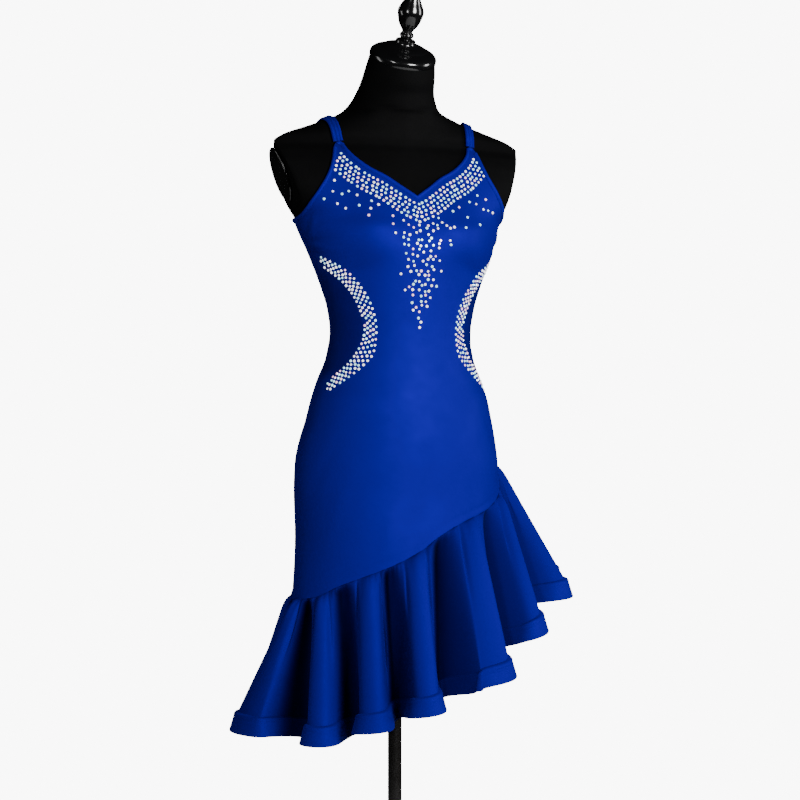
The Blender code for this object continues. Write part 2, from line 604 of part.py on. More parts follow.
# ---------------------------------------------------------------- assembly
def main():
    for old in list(bpy.data.objects):
        bpy.data.objects.remove(old)
    satin = material("blue satin", (0.004, 0.045, 0.42), 0.32)
    trim = material("blue binding", (0.006, 0.060, 0.48), 0.38)
    stiff = material("hem band satin", (0.004, 0.045, 0.42), 0.35)
    cover = material("black form cover", (0.006, 0.006, 0.007), 0.85)
    gloss = material("black gloss", (0.008, 0.008, 0.009), 0.15)
    metal = material("black stand metal", (0.012, 0.011, 0.010), 0.30, 0.6)

    make_torso(cover)
    make_arm_plate("arm_plate_left", 1, gloss)
    make_arm_plate("arm_plate_right", -1, gloss)
    turned("neck_cap", CAP, along_neck(SEAM_GAP), NECK_LEAN, 24, gloss)
    turned("finial", FINIAL, along_neck(FINIAL_START + 2 * SEAM_GAP), NECK_LEAN, 16, gloss)
    make_stand(metal)

    make_panel("front_panel", False, satin)
    make_panel("back_panel", True, satin)
    make_bindings(trim)
    make_strap("strap_left", 1, trim)
    make_strap("strap_right", -1, trim)

    back_span = (FRONT_FLOUNCE[1], FRONT_FLOUNCE[0] + FLUTES)
    make_flounce("flounce_front", FRONT_FLOUNCE, satin)
    make_flounce("flounce_back", back_span, satin)
    make_hem_band("hem_band_front", FRONT_FLOUNCE, stiff)
    make_hem_band("hem_band_back", back_span, stiff)


main()
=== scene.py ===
"""Salsa dance dress on a limbless dress form: the looks of every piece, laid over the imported
solids.  Metres, +Z up, the front faces -Y and the wearer's left is +X."""

import bpy
import numpy as np
from mathutils import Matrix


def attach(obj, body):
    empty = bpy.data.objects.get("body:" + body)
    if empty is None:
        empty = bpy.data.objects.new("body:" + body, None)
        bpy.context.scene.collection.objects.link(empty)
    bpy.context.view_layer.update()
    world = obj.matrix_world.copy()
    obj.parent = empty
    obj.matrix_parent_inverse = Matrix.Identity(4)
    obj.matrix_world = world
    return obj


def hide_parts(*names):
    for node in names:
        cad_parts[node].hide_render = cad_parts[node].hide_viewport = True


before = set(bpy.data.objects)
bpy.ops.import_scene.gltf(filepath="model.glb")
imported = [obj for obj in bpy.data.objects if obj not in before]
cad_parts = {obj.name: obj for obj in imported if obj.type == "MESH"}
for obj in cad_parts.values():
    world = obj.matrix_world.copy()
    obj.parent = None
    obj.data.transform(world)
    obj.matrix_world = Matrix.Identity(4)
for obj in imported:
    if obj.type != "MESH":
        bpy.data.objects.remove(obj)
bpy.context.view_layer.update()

bl_info = {
    "name": "Salsa dance dress on a dress form",
    "version": (1, 0, 0),
    "blender": (4, 5, 0),
    "location": "View3D > Sidebar > Dress",
    "description": "Builds a strappy satin dance dress, its rhinestones and its dress form",
    "category": "Object",
}

# ---------------------------------------------------------------- sizes of the cut (metres)
SEAM_GAP = 0.0003          # parting between the stand's pieces
EASE = 0.0024              # from the form's skin to the inside of the satin
CLOTH = 0.0012             # from there to the satin's plain outer surface
SATIN = 0.0008             # thickness of the satin that is drawn
CUP_ACROSS = 0.085         # middle of each cup from the centre front
CUP_HEIGHT = 1.188
CUP_SPREAD = (0.052, 0.047)
FORM_CUP = 0.009           # how far the form's bust stands out of its plain section
DRESS_CUP = 0.013          # and the dress's own cups
ARM_FOOT = 1.222           # height at which the flat arm ends begin
ARM_FOOT_ACROSS = 0.1745   # their distance from the middle there
ARM_SLOPE = 0.345          # how much further out they lie for each metre up
ARM_FOOT_SOFT = 0.004      # how softly the upright side below turns into that slope
ARM_TOP_OF_SIDE = 1.10     # below this the arm ends have no part in the section
ARM_SLACK = 0.0055         # the satin rounds the arm end's corner this much further out
ARM_ROUND = 0.005          # and bends round it this softly
FORM_ROUND = 0.0012        # the form's own corner there
ARM_PLATE = (0.046, 0.031) # half height and half depth of the oval plates
ARM_PLATE_MIDDLE = (0.003, 1.285)
FORM_BOTTOM = 0.79
NECK_LEAN = 27.0           # degrees that the neck's top leans forward
NECK_TOP = (-0.033, 1.4765)
BINDING_WIDTH = 0.0060
STRAP_WIDTH = 0.0165
STRAP_CLOTH = 0.0016
STRAP_RIBS = 3
STRAP_RIB = 0.0011         # height of each of them
STRAP_EASE = 0.0032        # from the form's skin to the underside of the strap's solid
MEANDER = 0.070            # sideways swing that rounds the flutes and steepens their sides
GATHER_DEPTH = 0.0024
GATHER_REACH = 0.22        # share of the flounce's drop over which the gathers fade
GATHERS_PER_FLUTE = 3
PUFF_RUN = 0.04            # share of the drop over which the gathered cloth springs out
SEAM_PUFF = 0.0110         # and how far
SEAM_LAP = 0.0002          # the flounce's upper edge laps this far up behind the sheath
BAND_HEIGHT = 0.029
BAND_SHELF = 0.0065        # how far the band steps out
BAND_FLARE = 0.0075        # and how much further its lower edge stands
BAND_CLOTH = 0.0020
BAND_LAP = 0.0004          # how far the band's upper edge hangs below the flounce's
BAND_FULLNESS = (0.72, 0.28)   # its steps' share midway, and how much that swings
VALLEY_LIFT = 0.001        # the hem is a little higher between the flutes
FRONT_FLOUNCE = (-0.5, 6.5)
POLE_RADIUS = 0.0115

# Horizontal sections of the form: height, half width, reach forward, reach back, where the
# widest line lies front to back, corner exponent (2 is an ellipse), forward lean in degrees.
SECTION_COLUMNS = ("z", "half_width", "front", "back", "ridge", "corner", "lean")
SECTIONS = (
    (0.580, 0.1765, 0.122, 0.109, -0.015, 2.00, 0.0),
    (0.700, 0.1705, 0.122, 0.109, -0.015, 2.00, 0.0),
    (0.770, 0.1720, 0.121, 0.113, -0.014, 2.00, 0.0),
    (0.820, 0.1693, 0.122, 0.117, -0.013, 2.00, 0.0),
    (0.850, 0.1640, 0.122, 0.114, -0.016, 2.00, 0.0),
    (0.885, 0.1550, 0.120, 0.106, -0.023, 2.00, 0.0),
    (0.920, 0.1467, 0.116, 0.095, -0.025, 2.00, 0.0),
    (0.950, 0.1366, 0.111, 0.083, -0.022, 2.00, 0.0),
    (0.990, 0.1215, 0.106, 0.067, -0.023, 2.00, 0.0),
    (1.030, 0.1161, 0.105, 0.059, -0.026, 2.00, 0.0),
    (1.070, 0.1217, 0.106, 0.062, -0.029, 2.00, 0.0),
    (1.110, 0.1344, 0.109, 0.071, -0.029, 2.00, 0.0),
    (1.160, 0.1542, 0.113, 0.082, -0.027, 2.00, 0.0),
    (1.190, 0.1667, 0.111, 0.088, -0.020, 2.00, 0.0),
    (1.215, 0.1765, 0.104, 0.091, -0.014, 2.00, 0.0),
    (1.240, 0.1970, 0.096, 0.094, -0.016, 2.00, 0.0),
    (1.270, 0.2170, 0.0850, 0.096, -0.020, 1.90, 0.0),
    (1.300, 0.2270, 0.0740, 0.095, -0.023, 1.60, 0.0),
    (1.320, 0.2290, 0.0660, 0.094, -0.018, 1.40, 0.0),
    (1.335, 0.2195, 0.0600, 0.092, -0.013, 1.25, 0.0),
    (1.349, 0.1990, 0.0580, 0.090, -0.014, 1.20, 0.0),
    (1.3655, 0.1535, 0.0580, 0.088, -0.012, 1.25, 0.0),
    (1.382, 0.1095, 0.0600, 0.084, -0.004, 1.45, 0.0),
    (1.3985, 0.0812, 0.0640, 0.078, 0.009, 1.75, 5.0),
    (1.415, 0.0680, 0.0660, 0.0650, 0.000, 2.00, 12.0),
    (1.435, 0.0610, 0.0690, 0.0470, -0.011, 2.00, 19.0),
    (1.457, 0.0578, 0.0765, 0.0285, -0.024, 2.00, 25.0),
    (1.4765, 0.0545, 0.0816, 0.0156, -0.033, 2.00, 27.0),
)

# Upper edge of the dress from the centre outwards, as (distance across, height): the neck, the
# peak that the strap is sewn to, and the armhole down to the side seam.
FRONT_NECK = ((0.0, 1.2470), (0.024, 1.2630), (0.046, 1.2785), (0.072, 1.2925), (0.095, 1.3110),
              (0.1080, 1.3325))
FRONT_PEAK = ((0.1080, 1.3325), (0.1145, 1.3355), (0.1210, 1.3315))
FRONT_ARMHOLE = ((0.1210, 1.3315), (0.1275, 1.3180), (0.1320, 1.3030), (0.1385, 1.2870),
                 (0.1505, 1.266), (0.163, 1.246), (0.172, 1.229), (0.176, 1.218), (0.1765, 1.215))
BACK_NECK = ((0.0, 1.180), (0.022, 1.184), (0.044, 1.200), (0.062, 1.228), (0.076, 1.266))
BACK_PEAK = ((0.076, 1.266), (0.084, 1.268), (0.092, 1.266))
BACK_ARMHOLE = ((0.092, 1.266), (0.104, 1.246), (0.122, 1.230), (0.146, 1.219),
                (0.168, 1.215), (0.1765, 1.215))

# The flounce's seam on the sheath: angle from the centre front towards the wearer's left, height.
SEAM = ((-105, 0.598), (-78, 0.601), (-64, 0.606), (-48, 0.624), (-27, 0.645), (-12, 0.663),
        (0, 0.682), (9, 0.701), (26, 0.724), (42, 0.738), (53, 0.749), (73, 0.773),
        (95, 0.817), (118, 0.828), (145, 0.800), (175, 0.748), (205, 0.690), (232, 0.632))

# One row for each flute: angle of its crest at the seam, angle of its crest at the hem, radius
# there, angle and radius of the valley after it, height of the hem.
FOLD_COLUMNS = ("seam", "crest", "crest_radius", "valley", "valley_radius", "hem")
FOLDS = (
    (-84, -89, 0.267, -66, 0.200, 0.389),
    (-60, -52, 0.243, -43, 0.180, 0.3835),
    (-31, -30, 0.240, -20, 0.170, 0.408),
    (-6, -9, 0.241, 1, 0.198, 0.434),
    (29, 18, 0.264, 28, 0.190, 0.483),
    (64, 38, 0.264, 48, 0.205, 0.549),
    (92, 60, 0.279, 71, 0.215, 0.600),
    (114, 84, 0.278, 96, 0.215, 0.614),
    (134, 107, 0.270, 118, 0.205, 0.598),
    (154, 129, 0.262, 140, 0.195, 0.564),
    (173, 151, 0.254, 162, 0.185, 0.522),
    (192, 173, 0.250, 184, 0.180, 0.482),
    (211, 195, 0.250, 206, 0.182, 0.446),
    (230, 217, 0.252, 228, 0.188, 0.420),
    (249, 233, 0.250, 247, 0.200, 0.388),
)

# Shoulder strap: angle round the shoulder from the front, distance across.
STRAP_PATH = ((30.2, 0.1155), (55.0, 0.1190), (90.0, 0.1285), (130.0, 0.1180), (165.0, 0.0960),
              (188.0, 0.0850), (205.6, 0.0840))
STRAP_CORE = (0.020, 1.300)

# Turned shapes: radius and distance along the axis.
CAP = ((0.0545, 0.0), (0.0555, 0.004), (0.0550, 0.010), (0.0500, 0.0150), (0.0420, 0.0180),
       (0.0385, 0.0190), (0.0370, 0.0210), (0.0290, 0.0245), (0.0170, 0.0265), (0.0160, 0.0335))
FINIAL_START = 0.0338
FINIAL = ((0.0080, 0.0), (0.0085, 0.004), (0.0115, 0.005), (0.0115, 0.0105), (0.0085, 0.0120),
          (0.0092, 0.0165), (0.0165, 0.0260), (0.0203, 0.0390), (0.0219, 0.0475),
          (0.0200, 0.0540), (0.0112, 0.0710), (0.0070, 0.0900), (0.0030, 0.1080))
SOCKET = ((0.0170, 0.0), (0.0170, 0.038), (0.0200, 0.042), (0.0450, 0.044), (0.0450, 0.050))
SOCKET_BORE = 0.0118
BASE = ((0.175, 0.0), (0.175, 0.005), (0.171, 0.009), (0.110, 0.014), (0.045, 0.020),
        (0.024, 0.028), (0.020, 0.044))
BASE_SEAT = 0.0443
POLE = ((POLE_RADIUS - 0.0006, BASE_SEAT), (POLE_RADIUS, BASE_SEAT + 0.0008),
        (POLE_RADIUS, FORM_BOTTOM - SEAM_GAP))

# Section of the arm ends' plates: share of the oval, height above the arm end.
ARM_CAP_SECTION = ((0.960, 0.0003), (0.985, 0.0007), (1.000, 0.0016), (1.000, 0.0026),
                   (0.985, 0.0034), (0.955, 0.0040), (0.90, 0.0042), (0.60, 0.0044),
                   (0.20, 0.0045))

# Soft troughs and ridges of the sheath: angle, height, half length, slope in degrees, half
# width and height of each.
CREASE_COLUMNS = ("angle", "z", "length", "slope", "width", "height")
CREASES = (
    (-80, 1.196, 0.030, 32, 0.0045, -0.0016), (-76, 1.186, 0.034, 18, 0.0050, 0.0013),
    (-80, 1.176, 0.030, 4, 0.0050, -0.0014), (-74, 1.166, 0.028, -8, 0.0055, 0.0009),
    (-68, 1.205, 0.022, 48, 0.0045, 0.0010), (-84, 1.158, 0.022, -16, 0.0050, -0.0008),
    (80, 1.196, 0.030, -32, 0.0045, -0.0014), (76, 1.184, 0.032, -18, 0.0050, 0.0012),
    (82, 1.172, 0.028, -4, 0.0050, -0.0012), (78, 1.160, 0.024, 10, 0.0050, 0.0007),
    (-46, 1.128, 0.040, 20, 0.0120, -0.0022), (46, 1.128, 0.040, -20, 0.0120, -0.0020),
    (0, 1.196, 0.012, 90, 0.0220, -0.0016), (-64, 1.012, 0.030, 10, 0.0070, -0.0009),
    (-60, 1.032, 0.030, 6, 0.0080, 0.0007), (66, 1.010, 0.030, -10, 0.0070, -0.0009),
    (60, 1.034, 0.030, -5, 0.0080, 0.0006), (-30, 0.905, 0.050, -8, 0.0180, 0.0009),
    (24, 0.880, 0.050, 14, 0.0200, -0.0008), (-60, 0.812, 0.050, 60, 0.0120, -0.0009),
    (-48, 0.760, 0.060, 70, 0.0130, 0.0010), (60, 0.862, 0.040, -60, 0.0120, -0.0008),
    (35, 0.815, 0.040, -50, 0.0140, 0.0008), (0, 0.740, 0.040, 75, 0.0160, -0.0009),
    (-20, 0.700, 0.030, 80, 0.0110, 0.0008), (150, 1.010, 0.040, -14, 0.0090, -0.0014),
    (180, 1.000, 0.060, 0, 0.0100, 0.0014), (210, 1.010, 0.040, 14, 0.0090, -0.0014),
    (168, 1.022, 0.040, 5, 0.0080, -0.0010), (150, 0.850, 0.040, 40, 0.0150, 0.0009),
    (205, 0.830, 0.050, -50, 0.0150, -0.0009), (165, 0.770, 0.040, 70, 0.0130, -0.0008),
)

# Secondary pleats of the flounce: place among the flutes, half width as a share of a flute,
# height (a trough is below zero), where it is deepest and over what share of the drop it runs.
PLEAT_COLUMNS = ("place", "width", "height", "deepest", "spread")
PLEATS = (
    (0.24, 0.055, -0.0060, 0.30, 0.34), (0.86, 0.040, -0.0050, 0.20, 0.22),
    (1.20, 0.050, -0.0040, 0.34, 0.26), (1.78, 0.045, -0.0046, 0.26, 0.28),
    (2.26, 0.050, -0.0085, 0.62, 0.50), (2.36, 0.040, 0.0040, 0.66, 0.46),
    (2.82, 0.045, -0.0040, 0.24, 0.22), (3.22, 0.050, -0.0060, 0.40, 0.36),
    (3.80, 0.040, -0.0044, 0.22, 0.24), (4.18, 0.045, -0.0060, 0.34, 0.30),
    (4.30, 0.040, 0.0030, 0.46, 0.30), (4.84, 0.045, -0.0050, 0.30, 0.26),
    (5.20, 0.050, -0.0056, 0.30, 0.30), (5.80, 0.045, -0.0040, 0.28, 0.24),
    (6.22, 0.050, -0.0050, 0.34, 0.30), (7.20, 0.050, -0.0050, 0.30, 0.28),
    (7.80, 0.045, -0.0040, 0.24, 0.26), (8.78, 0.045, -0.0052, 0.34, 0.30),
    (9.22, 0.050, -0.0040, 0.26, 0.24), (10.24, 0.050, -0.0056, 0.40, 0.32),
    (11.20, 0.045, -0.0044, 0.28, 0.26), (11.80, 0.045, -0.0040, 0.30, 0.24),
    (12.22, 0.050, -0.0056, 0.36, 0.30), (13.24, 0.050, -0.0048, 0.30, 0.30),
    (13.82, 0.045, -0.0040, 0.26, 0.24),
)

# Section of the hem band: share of the shelf's width, share of the flare, distance down.
BAND_SECTION = ((0.0, 0.0, -0.0006), (0.45, 0.0, 0.0003), (0.82, 0.0, 0.0011), (1.0, 0.0, 0.0026),
                (1.03, 0.03, 0.0046), (1.0, 0.08, 0.0062), (0.97, 0.10, 0.0070),
                (1.0, 0.14, 0.0078), (1.0, 0.35, 0.0130), (1.0, 0.60, 0.0190),
                (1.0, 0.80, 0.0240), (0.97, 0.86, 0.0252), (1.0, 0.92, 0.0264),
                (1.02, 1.0, 0.0283), (0.95, 1.0, 0.0296))

# Section of the binding: distance in from the edge as a share of its width, height above the
# satin.  It wraps the edge and dips at its line of stitches.
BINDING_SECTION = ((1.02, 0.0001), (1.05, 0.0006), (0.98, 0.0010), (0.90, 0.0010), (0.84, 0.0006),
                   (0.76, 0.0011), (0.60, 0.0017), (0.38, 0.0020), (0.16, 0.0018),
                   (0.00, 0.0012), (-0.08, 0.0003), (-0.10, -0.0006), (-0.06, -0.0014),
                   (0.06, -0.0017), (0.24, -0.0016))

# Rhinestones.  The side crescents lie between an outer and an inner line of (angle, height);
# the centre drop narrows from its first row to its last, as (height, half width).
CRESCENT_OUTER = ((77, 1.152), (60, 1.137), (50, 1.119), (45, 1.104), (40, 1.084), (37, 1.064),
                  (35, 1.036), (36, 0.996), (42, 0.977), (49, 0.962), (58, 0.948), (72, 0.931))
CRESCENT_INNER = ((80, 1.139), (69, 1.124), (58, 1.104), (52, 1.082), (48, 1.058), (46, 1.041),
                  (47, 1.020), (52, 0.996), (59, 0.975), (66, 0.962), (75, 0.949))
DROP = ((1.218, 0.026), (1.180, 0.027), (1.150, 0.024), (1.115, 0.019), (1.080, 0.012),
        (1.060, 0.007), (1.038, 0.001))


def columns(rows, names):
    """A table's columns by name."""
    return dict(zip(names, np.array(rows, float).T))


def named(rows, names):
    """A table's rows, each with its values by name."""
    return [dict(zip(names, row)) for row in rows]


BODY = columns(SECTIONS, SECTION_COLUMNS)
FOLD = columns(FOLDS, FOLD_COLUMNS)
FLUTES = len(FOLDS)


# ---------------------------------------------------------------- curves
def smooth(at, xs, ys):
    """A cubic through the points that never overshoots them: each point's slope is the harmonic
    mean of its neighbours' and zero at a turn; flat beyond both ends."""
    xs, ys = np.asarray(xs, float), np.asarray(ys, float)
    step = np.diff(xs)
    slope = np.diff(ys) / step
    before, after = slope[:-1], slope[1:]
    total = np.where(before + after == 0, 1, before + after)
    inner = np.where(before * after > 0, 2 * before * after / total, 0)
    tangent = np.concatenate([slope[:1], inner, slope[-1:]])
    at = np.clip(at, xs[0], xs[-1])
    i = np.clip(np.searchsorted(xs, at, side="right") - 1, 0, len(step) - 1)
    f = (at - xs[i]) / step[i]
    rise = (1 - f) ** 2 * (1 + 2 * f) * ys[i] + f ** 2 * (3 - 2 * f) * ys[i + 1]
    return rise + step[i] * (f * (1 - f) ** 2 * tangent[i] - f ** 2 * (1 - f) * tangent[i + 1])


def round_table(u, values, turn=0.0, per_unit=1):
    """A smooth value along the row of flutes, which closes on itself and adds turn each time."""
    count, margin = len(values), 3
    index = np.arange(-margin, count + margin + 1)
    wrapped = np.asarray(values)[index % count] + turn * (index // count)
    return smooth(np.asarray(u) * per_unit, index, wrapped)


def seam_height(angle):
    """Height of the flounce's seam at an angle, in degrees from the centre front."""
    rows = np.array(SEAM, float)
    turned_rows = np.concatenate([rows[:, 0] - 360, rows[:, 0], rows[:, 0] + 360])
    return smooth(angle, turned_rows, np.tile(rows[:, 1], 3))


def unit(v):
    """The vectors, each divided by its length."""
    return v / np.maximum(np.linalg.norm(v, axis=-1, keepdims=True), 1e-12)


def bell(x):
    """1 at zero, falling off on both sides as exp(-x squared)."""
    return np.exp(-np.square(x))


def eased(share, run):
    """0 at a share of zero, rising to 1 over about one run: 1 - exp(-share / run)."""
    return 1 - np.exp(-share / run)


def flutes_away(u, place):
    """How many flutes u lies from a place, counted the shorter way round."""
    return (u - place + FLUTES / 2) % FLUTES - FLUTES / 2


def running_sum(steps):
    """0, then the sum of the steps so far."""
    return np.concatenate([[0], np.cumsum(steps)])


def path_length(points, scale=1.0):
    """Distance run along a row of points, at each of them: the running sum of the steps'
    lengths."""
    return running_sum(np.linalg.norm(np.diff(points, axis=0) * scale, axis=1))


def rounded(profile, cuts):
    """The profile with its corners cut: each cut puts two points on every straight, a quarter of
    its length from either end, and keeps the first and last points."""
    line = np.array(profile, float)
    for _ in range(cuts):
        near, far = line[:-1] * 0.75 + line[1:] * 0.25, line[:-1] * 0.25 + line[1:] * 0.75
        line = np.concatenate([line[:1], np.stack([near, far], 1).reshape(-1, 2), line[-1:]])
    return line


# ---------------------------------------------------------------- the form's skin
MEAN_METRES_PER_DEGREE = 0.0026    # round the bodice, for spacing its columns


def arm_reach(z):
    """How far from the middle the flat arm ends lie: upright below their foot, then sloping
    outwards, with a soft turn between the two."""
    rise = z - ARM_FOOT
    return ARM_FOOT_ACROSS + ARM_SLOPE * (rise + np.hypot(rise, ARM_FOOT_SOFT)) / 2


def skin(angle, z, cup, slack=0.0, soft=0.0):
    """A point of the form at height z: a superellipse whose front and back differ, held within
    the arm ends, with a bell-shaped cup on either side and a forward lean in the neck."""
    a, front, back, ridge, corner, lean = (
        smooth(z, BODY["z"], BODY[name]) for name in SECTION_COLUMNS[1:])
    across, ahead = np.sin(np.radians(angle)), np.cos(np.radians(angle))
    depth = np.maximum(1 - np.abs(across) ** corner, 0) ** (1 / corner)
    x = a * across
    y = np.where(ahead > 0, ridge - (front + ridge) * depth, ridge + (back - ridge) * depth)
    limit = np.where(z > ARM_TOP_OF_SIDE, arm_reach(z) + slack, 1.0)
    x = np.sign(x) * (np.abs(x) + limit - np.hypot(np.abs(x) - limit, soft)) / 2
    side = (np.abs(x) - CUP_ACROSS) / CUP_SPREAD[0]
    y = y - np.where(ahead > 0, cup * bell(side) * bell((z - CUP_HEIGHT) / CUP_SPREAD[1]), 0)
    return np.stack([x, y, z + (y - ridge) * np.tan(np.radians(lean))], axis=-1)


def cloth(angle, z, lift):
    """A point of the dress: the form's skin with the dress's own cups, moved along its outward
    normal, which is the cross product of a small turn and a small climb."""
    angle, z = np.broadcast_arrays(np.asarray(angle, float), np.asarray(z, float))
    turn, climb = 0.6, 0.004       # degrees and metres

    def dressed(angle, z):
        return skin(angle, z, DRESS_CUP, ARM_SLACK, ARM_ROUND)

    round_it = dressed(angle + turn, z) - dressed(angle - turn, z)
    up_it = dressed(angle, z + climb) - dressed(angle, z - climb)
    lift = np.asarray(lift, float)
    return dressed(angle, z) + unit(np.cross(round_it, up_it)) * lift[..., None]


def metres_per_degree(z):
    """Length of one degree round the sheath: the mean of its half width and depth there."""
    half = (BODY["half_width"] + (BODY["front"] + BODY["back"]) / 2) / 2
    return smooth(z, BODY["z"], half) * np.pi / 180


def edge_angle(rows, back=False):
    """Turns an edge's rows of (across, z) into angles and heights on the skin."""
    across, z = np.array(rows, float).T
    share = np.clip(across / smooth(z, BODY["z"], BODY["half_width"]), -1, 1)
    angle = np.degrees(np.arcsin(share))
    return (180 - angle if back else angle), z


def resample(points, count):
    """count + 1 points spread evenly along a run of (angle, height) pairs."""
    points = np.array(points, float)
    length = path_length(points, (MEAN_METRES_PER_DEGREE, 1.0))
    at = np.linspace(0, length[-1], count + 1)
    return np.stack([smooth(at, length, points[:, k]) for k in (0, 1)], axis=-1)


# ---------------------------------------------------------------- meshes
CLOTH_CORNER, TURNED_CORNER, FORM_CORNER = 50, 30, 35    # degrees from which an edge is sharp
TURNED_SPOKES = 96


def put_mesh(name, points, quads, finish, uv=None, sharp=CLOTH_CORNER, flat=False):
    """One object from an array of points and an array of faces with four corners; a face whose
    last corner repeats its third is a triangle.  uv holds a pair for each point, in metres.
    Edges bent by more than sharp degrees are drawn sharp, and flat faces aren't smoothed."""
    points = np.asarray(points, np.float32).reshape(-1, 3)
    quads = np.asarray(quads, np.int32)
    keep = np.ones(quads.shape, bool)
    keep[:, 3] = quads[:, 3] != quads[:, 2]
    sizes = keep.sum(axis=1)
    corners = quads[keep]
    mesh = bpy.data.meshes.new(name)
    mesh.vertices.add(len(points))
    mesh.vertices.foreach_set("co", points.ravel())
    mesh.loops.add(len(corners))
    mesh.loops.foreach_set("vertex_index", corners)
    mesh.polygons.add(len(quads))
    mesh.polygons.foreach_set("loop_start", running_sum(sizes)[:-1])
    mesh.update(calc_edges=True)
    if uv is not None:
        layer = mesh.uv_layers.new(name="cloth")
        layer.data.foreach_set("uv", np.asarray(uv, np.float32).reshape(-1, 2)[corners].ravel())
    if mesh.validate():
        raise RuntimeError(f"{name}: the mesh had faces that Blender can't keep")
    if flat:
        mesh.shade_flat()
    else:
        mesh.shade_smooth()
        mesh.set_sharp_from_angle(angle=np.radians(sharp))
    mesh.materials.append(finish)
    piece = bpy.data.objects.new(name, mesh)
    bpy.context.scene.collection.objects.link(piece)
    return piece


def sheet_uv(points):
    """Distances along the rows and up the columns of a grid of points, in metres."""
    along = np.linalg.norm(np.diff(points, axis=1), axis=2).mean(axis=0)
    up = np.linalg.norm(np.diff(points, axis=0), axis=2).mean(axis=1)
    return np.stack(np.broadcast_arrays(running_sum(along)[None, :], running_sum(up)[:, None]), -1)


def put_wall(name, inner, outer, finish, shade):
    """A closed thin wall between two grids of points, rows running up and columns running round
    anticlockwise as seen from above, with a rim round its four edges.  shade holds the painted
    shade, how dark the cloth is drawn at each point of the grid, from 0 to 1."""
    rows, cols = inner.shape[:2]
    index = np.arange(rows * cols).reshape(rows, cols)
    face = np.stack([index[:-1, :-1], index[:-1, 1:], index[1:, 1:], index[1:, :-1]],
                    -1).reshape(-1, 4)
    other = rows * cols
    rim = np.concatenate([index[0, :], index[1:, -1], index[-1, -2::-1], index[-2:0:-1, 0]])
    after = np.roll(rim, -1)
    band = np.stack([rim + other, after + other, after, rim], -1)
    uv = sheet_uv(outer).reshape(-1, 2)
    piece = put_mesh(name, np.concatenate([outer.reshape(-1, 3), inner.reshape(-1, 3)]),
                     np.concatenate([face, face[:, ::-1] + other, band]), finish,
                     np.concatenate([uv, uv]))
    # painted shade, stored on every point of both walls
    layer = piece.data.attributes.new("shade", "FLOAT", "POINT")
    layer.data.foreach_set("value", np.tile(np.float32(shade).ravel(), 2))
    return piece


def ring_faces(index):
    """Faces between each ring of point numbers and the next, all the way round."""
    right = np.roll(index, -1, axis=1)
    return np.stack([index[:-1], right[:-1], right[1:], index[1:]], -1).reshape(-1, 4)


def put_tube(name, rings, finish, sharp=CLOTH_CORNER):
    """Rings of points carried along a path and closed by a fan at either end: rows are stations
    and columns run round the outline, so that the faces point outwards."""
    count, around = rings.shape[:2]
    index = np.arange(count * around).reshape(count, around)
    right = np.roll(index, -1, axis=1)
    first, last = count * around, count * around + 1
    foot = np.stack([right[0], index[0], np.full(around, first), np.full(around, first)], -1)
    head = np.stack([index[-1], right[-1], np.full(around, last), np.full(around, last)], -1)
    points = np.concatenate([rings.reshape(-1, 3), rings[:1].mean(axis=1), rings[-1:].mean(axis=1)])
    v = path_length(rings.mean(axis=1))
    outline = np.linalg.norm(rings[0] - np.roll(rings[0], 1, axis=0), axis=1).sum()
    u = np.linspace(0, 1, around) * outline
    uv = np.stack(np.broadcast_arrays(u[None, :], v[:, None]), -1).reshape(-1, 2)
    uv = np.concatenate([uv, [[0, 0], [0, v[-1]]]])
    return put_mesh(name, points, np.concatenate([ring_faces(index), foot, head]), finish, uv,
                    sharp)


def put_turned(name, profile, start, lean, finish, cuts, bore=0.0):
    """A profile of (radius, distance) with cut corners, turned about an axis that leans forward
    from start: each point's spokes are the sine and cosine of even turns.  A bore leaves a hole
    down the middle."""
    line = rounded(profile, cuts)
    tilt = np.radians(lean)
    forward = np.array([0.0, np.cos(tilt), np.sin(tilt)])
    axis = np.array([0.0, -np.sin(tilt), np.cos(tilt)])
    angle = np.linspace(0, 2 * np.pi, TURNED_SPOKES, endpoint=False)
    spoke = np.cos(angle)[:, None] * (1.0, 0, 0) + np.sin(angle)[:, None] * forward
    if bore:
        line = np.concatenate([[[bore, line[0, 1]]], line, [[bore, line[-1, 1]]]])
    rings = np.array(start) + line[:, :1, None] * spoke[None] + (line[:, 1:] * axis)[:, None]
    if not bore:
        return put_tube(name, rings, finish, TURNED_CORNER)
    count = len(rings)
    index = np.arange(count * TURNED_SPOKES).reshape(count, TURNED_SPOKES)
    closed = np.concatenate([index, index[:1]])
    return put_mesh(name, rings, ring_faces(closed), finish, sharp=TURNED_CORNER)


# ---------------------------------------------------------------- the sheath's grid
FRONT_COUNTS = (30, 8, 32)     # columns along half a panel's neck, peak and armhole
BACK_COUNTS = (26, 8, 26)
SIDE_GRID_LEVEL = 1.15     # above this the columns swing to the edge's own points
FAN_HASTE = 3              # and this is the power by which they do so early
WAIST_LEVELS = np.linspace(0.87, SIDE_GRID_LEVEL, 66)
SKIRT_ROWS = 30
BODICE_ROWS = 48
EDGE_ROWS = 5              # rows over the binding's width
SIDE_PART = 0.004          # degrees from the side seam to each panel
# Rolled edge of the sheath: height above the flounce's seam, half width, height of the roll.
SEAM_ROLL = ((0.0032, 0.0020, 0.0007), (0.0085, 0.0022, -0.0006))
# Painted shade on the sides, which turn away from the light, between crescent and side seam:
# by how much, how many degrees it starts before the crescent's inner line, over how many it
# darkens, where it has faded towards the back and over how many degrees, and how far in from
# the crescent's ends, in metres.
PAINTED_SIDE_SHADE = 0.42
SIDE_SHADE_LEAD, SIDE_SHADE_RUN = 3, 5
SIDE_SHADE_BACK, SIDE_SHADE_FADE = 118, 25
SIDE_SHADE_END = 0.02


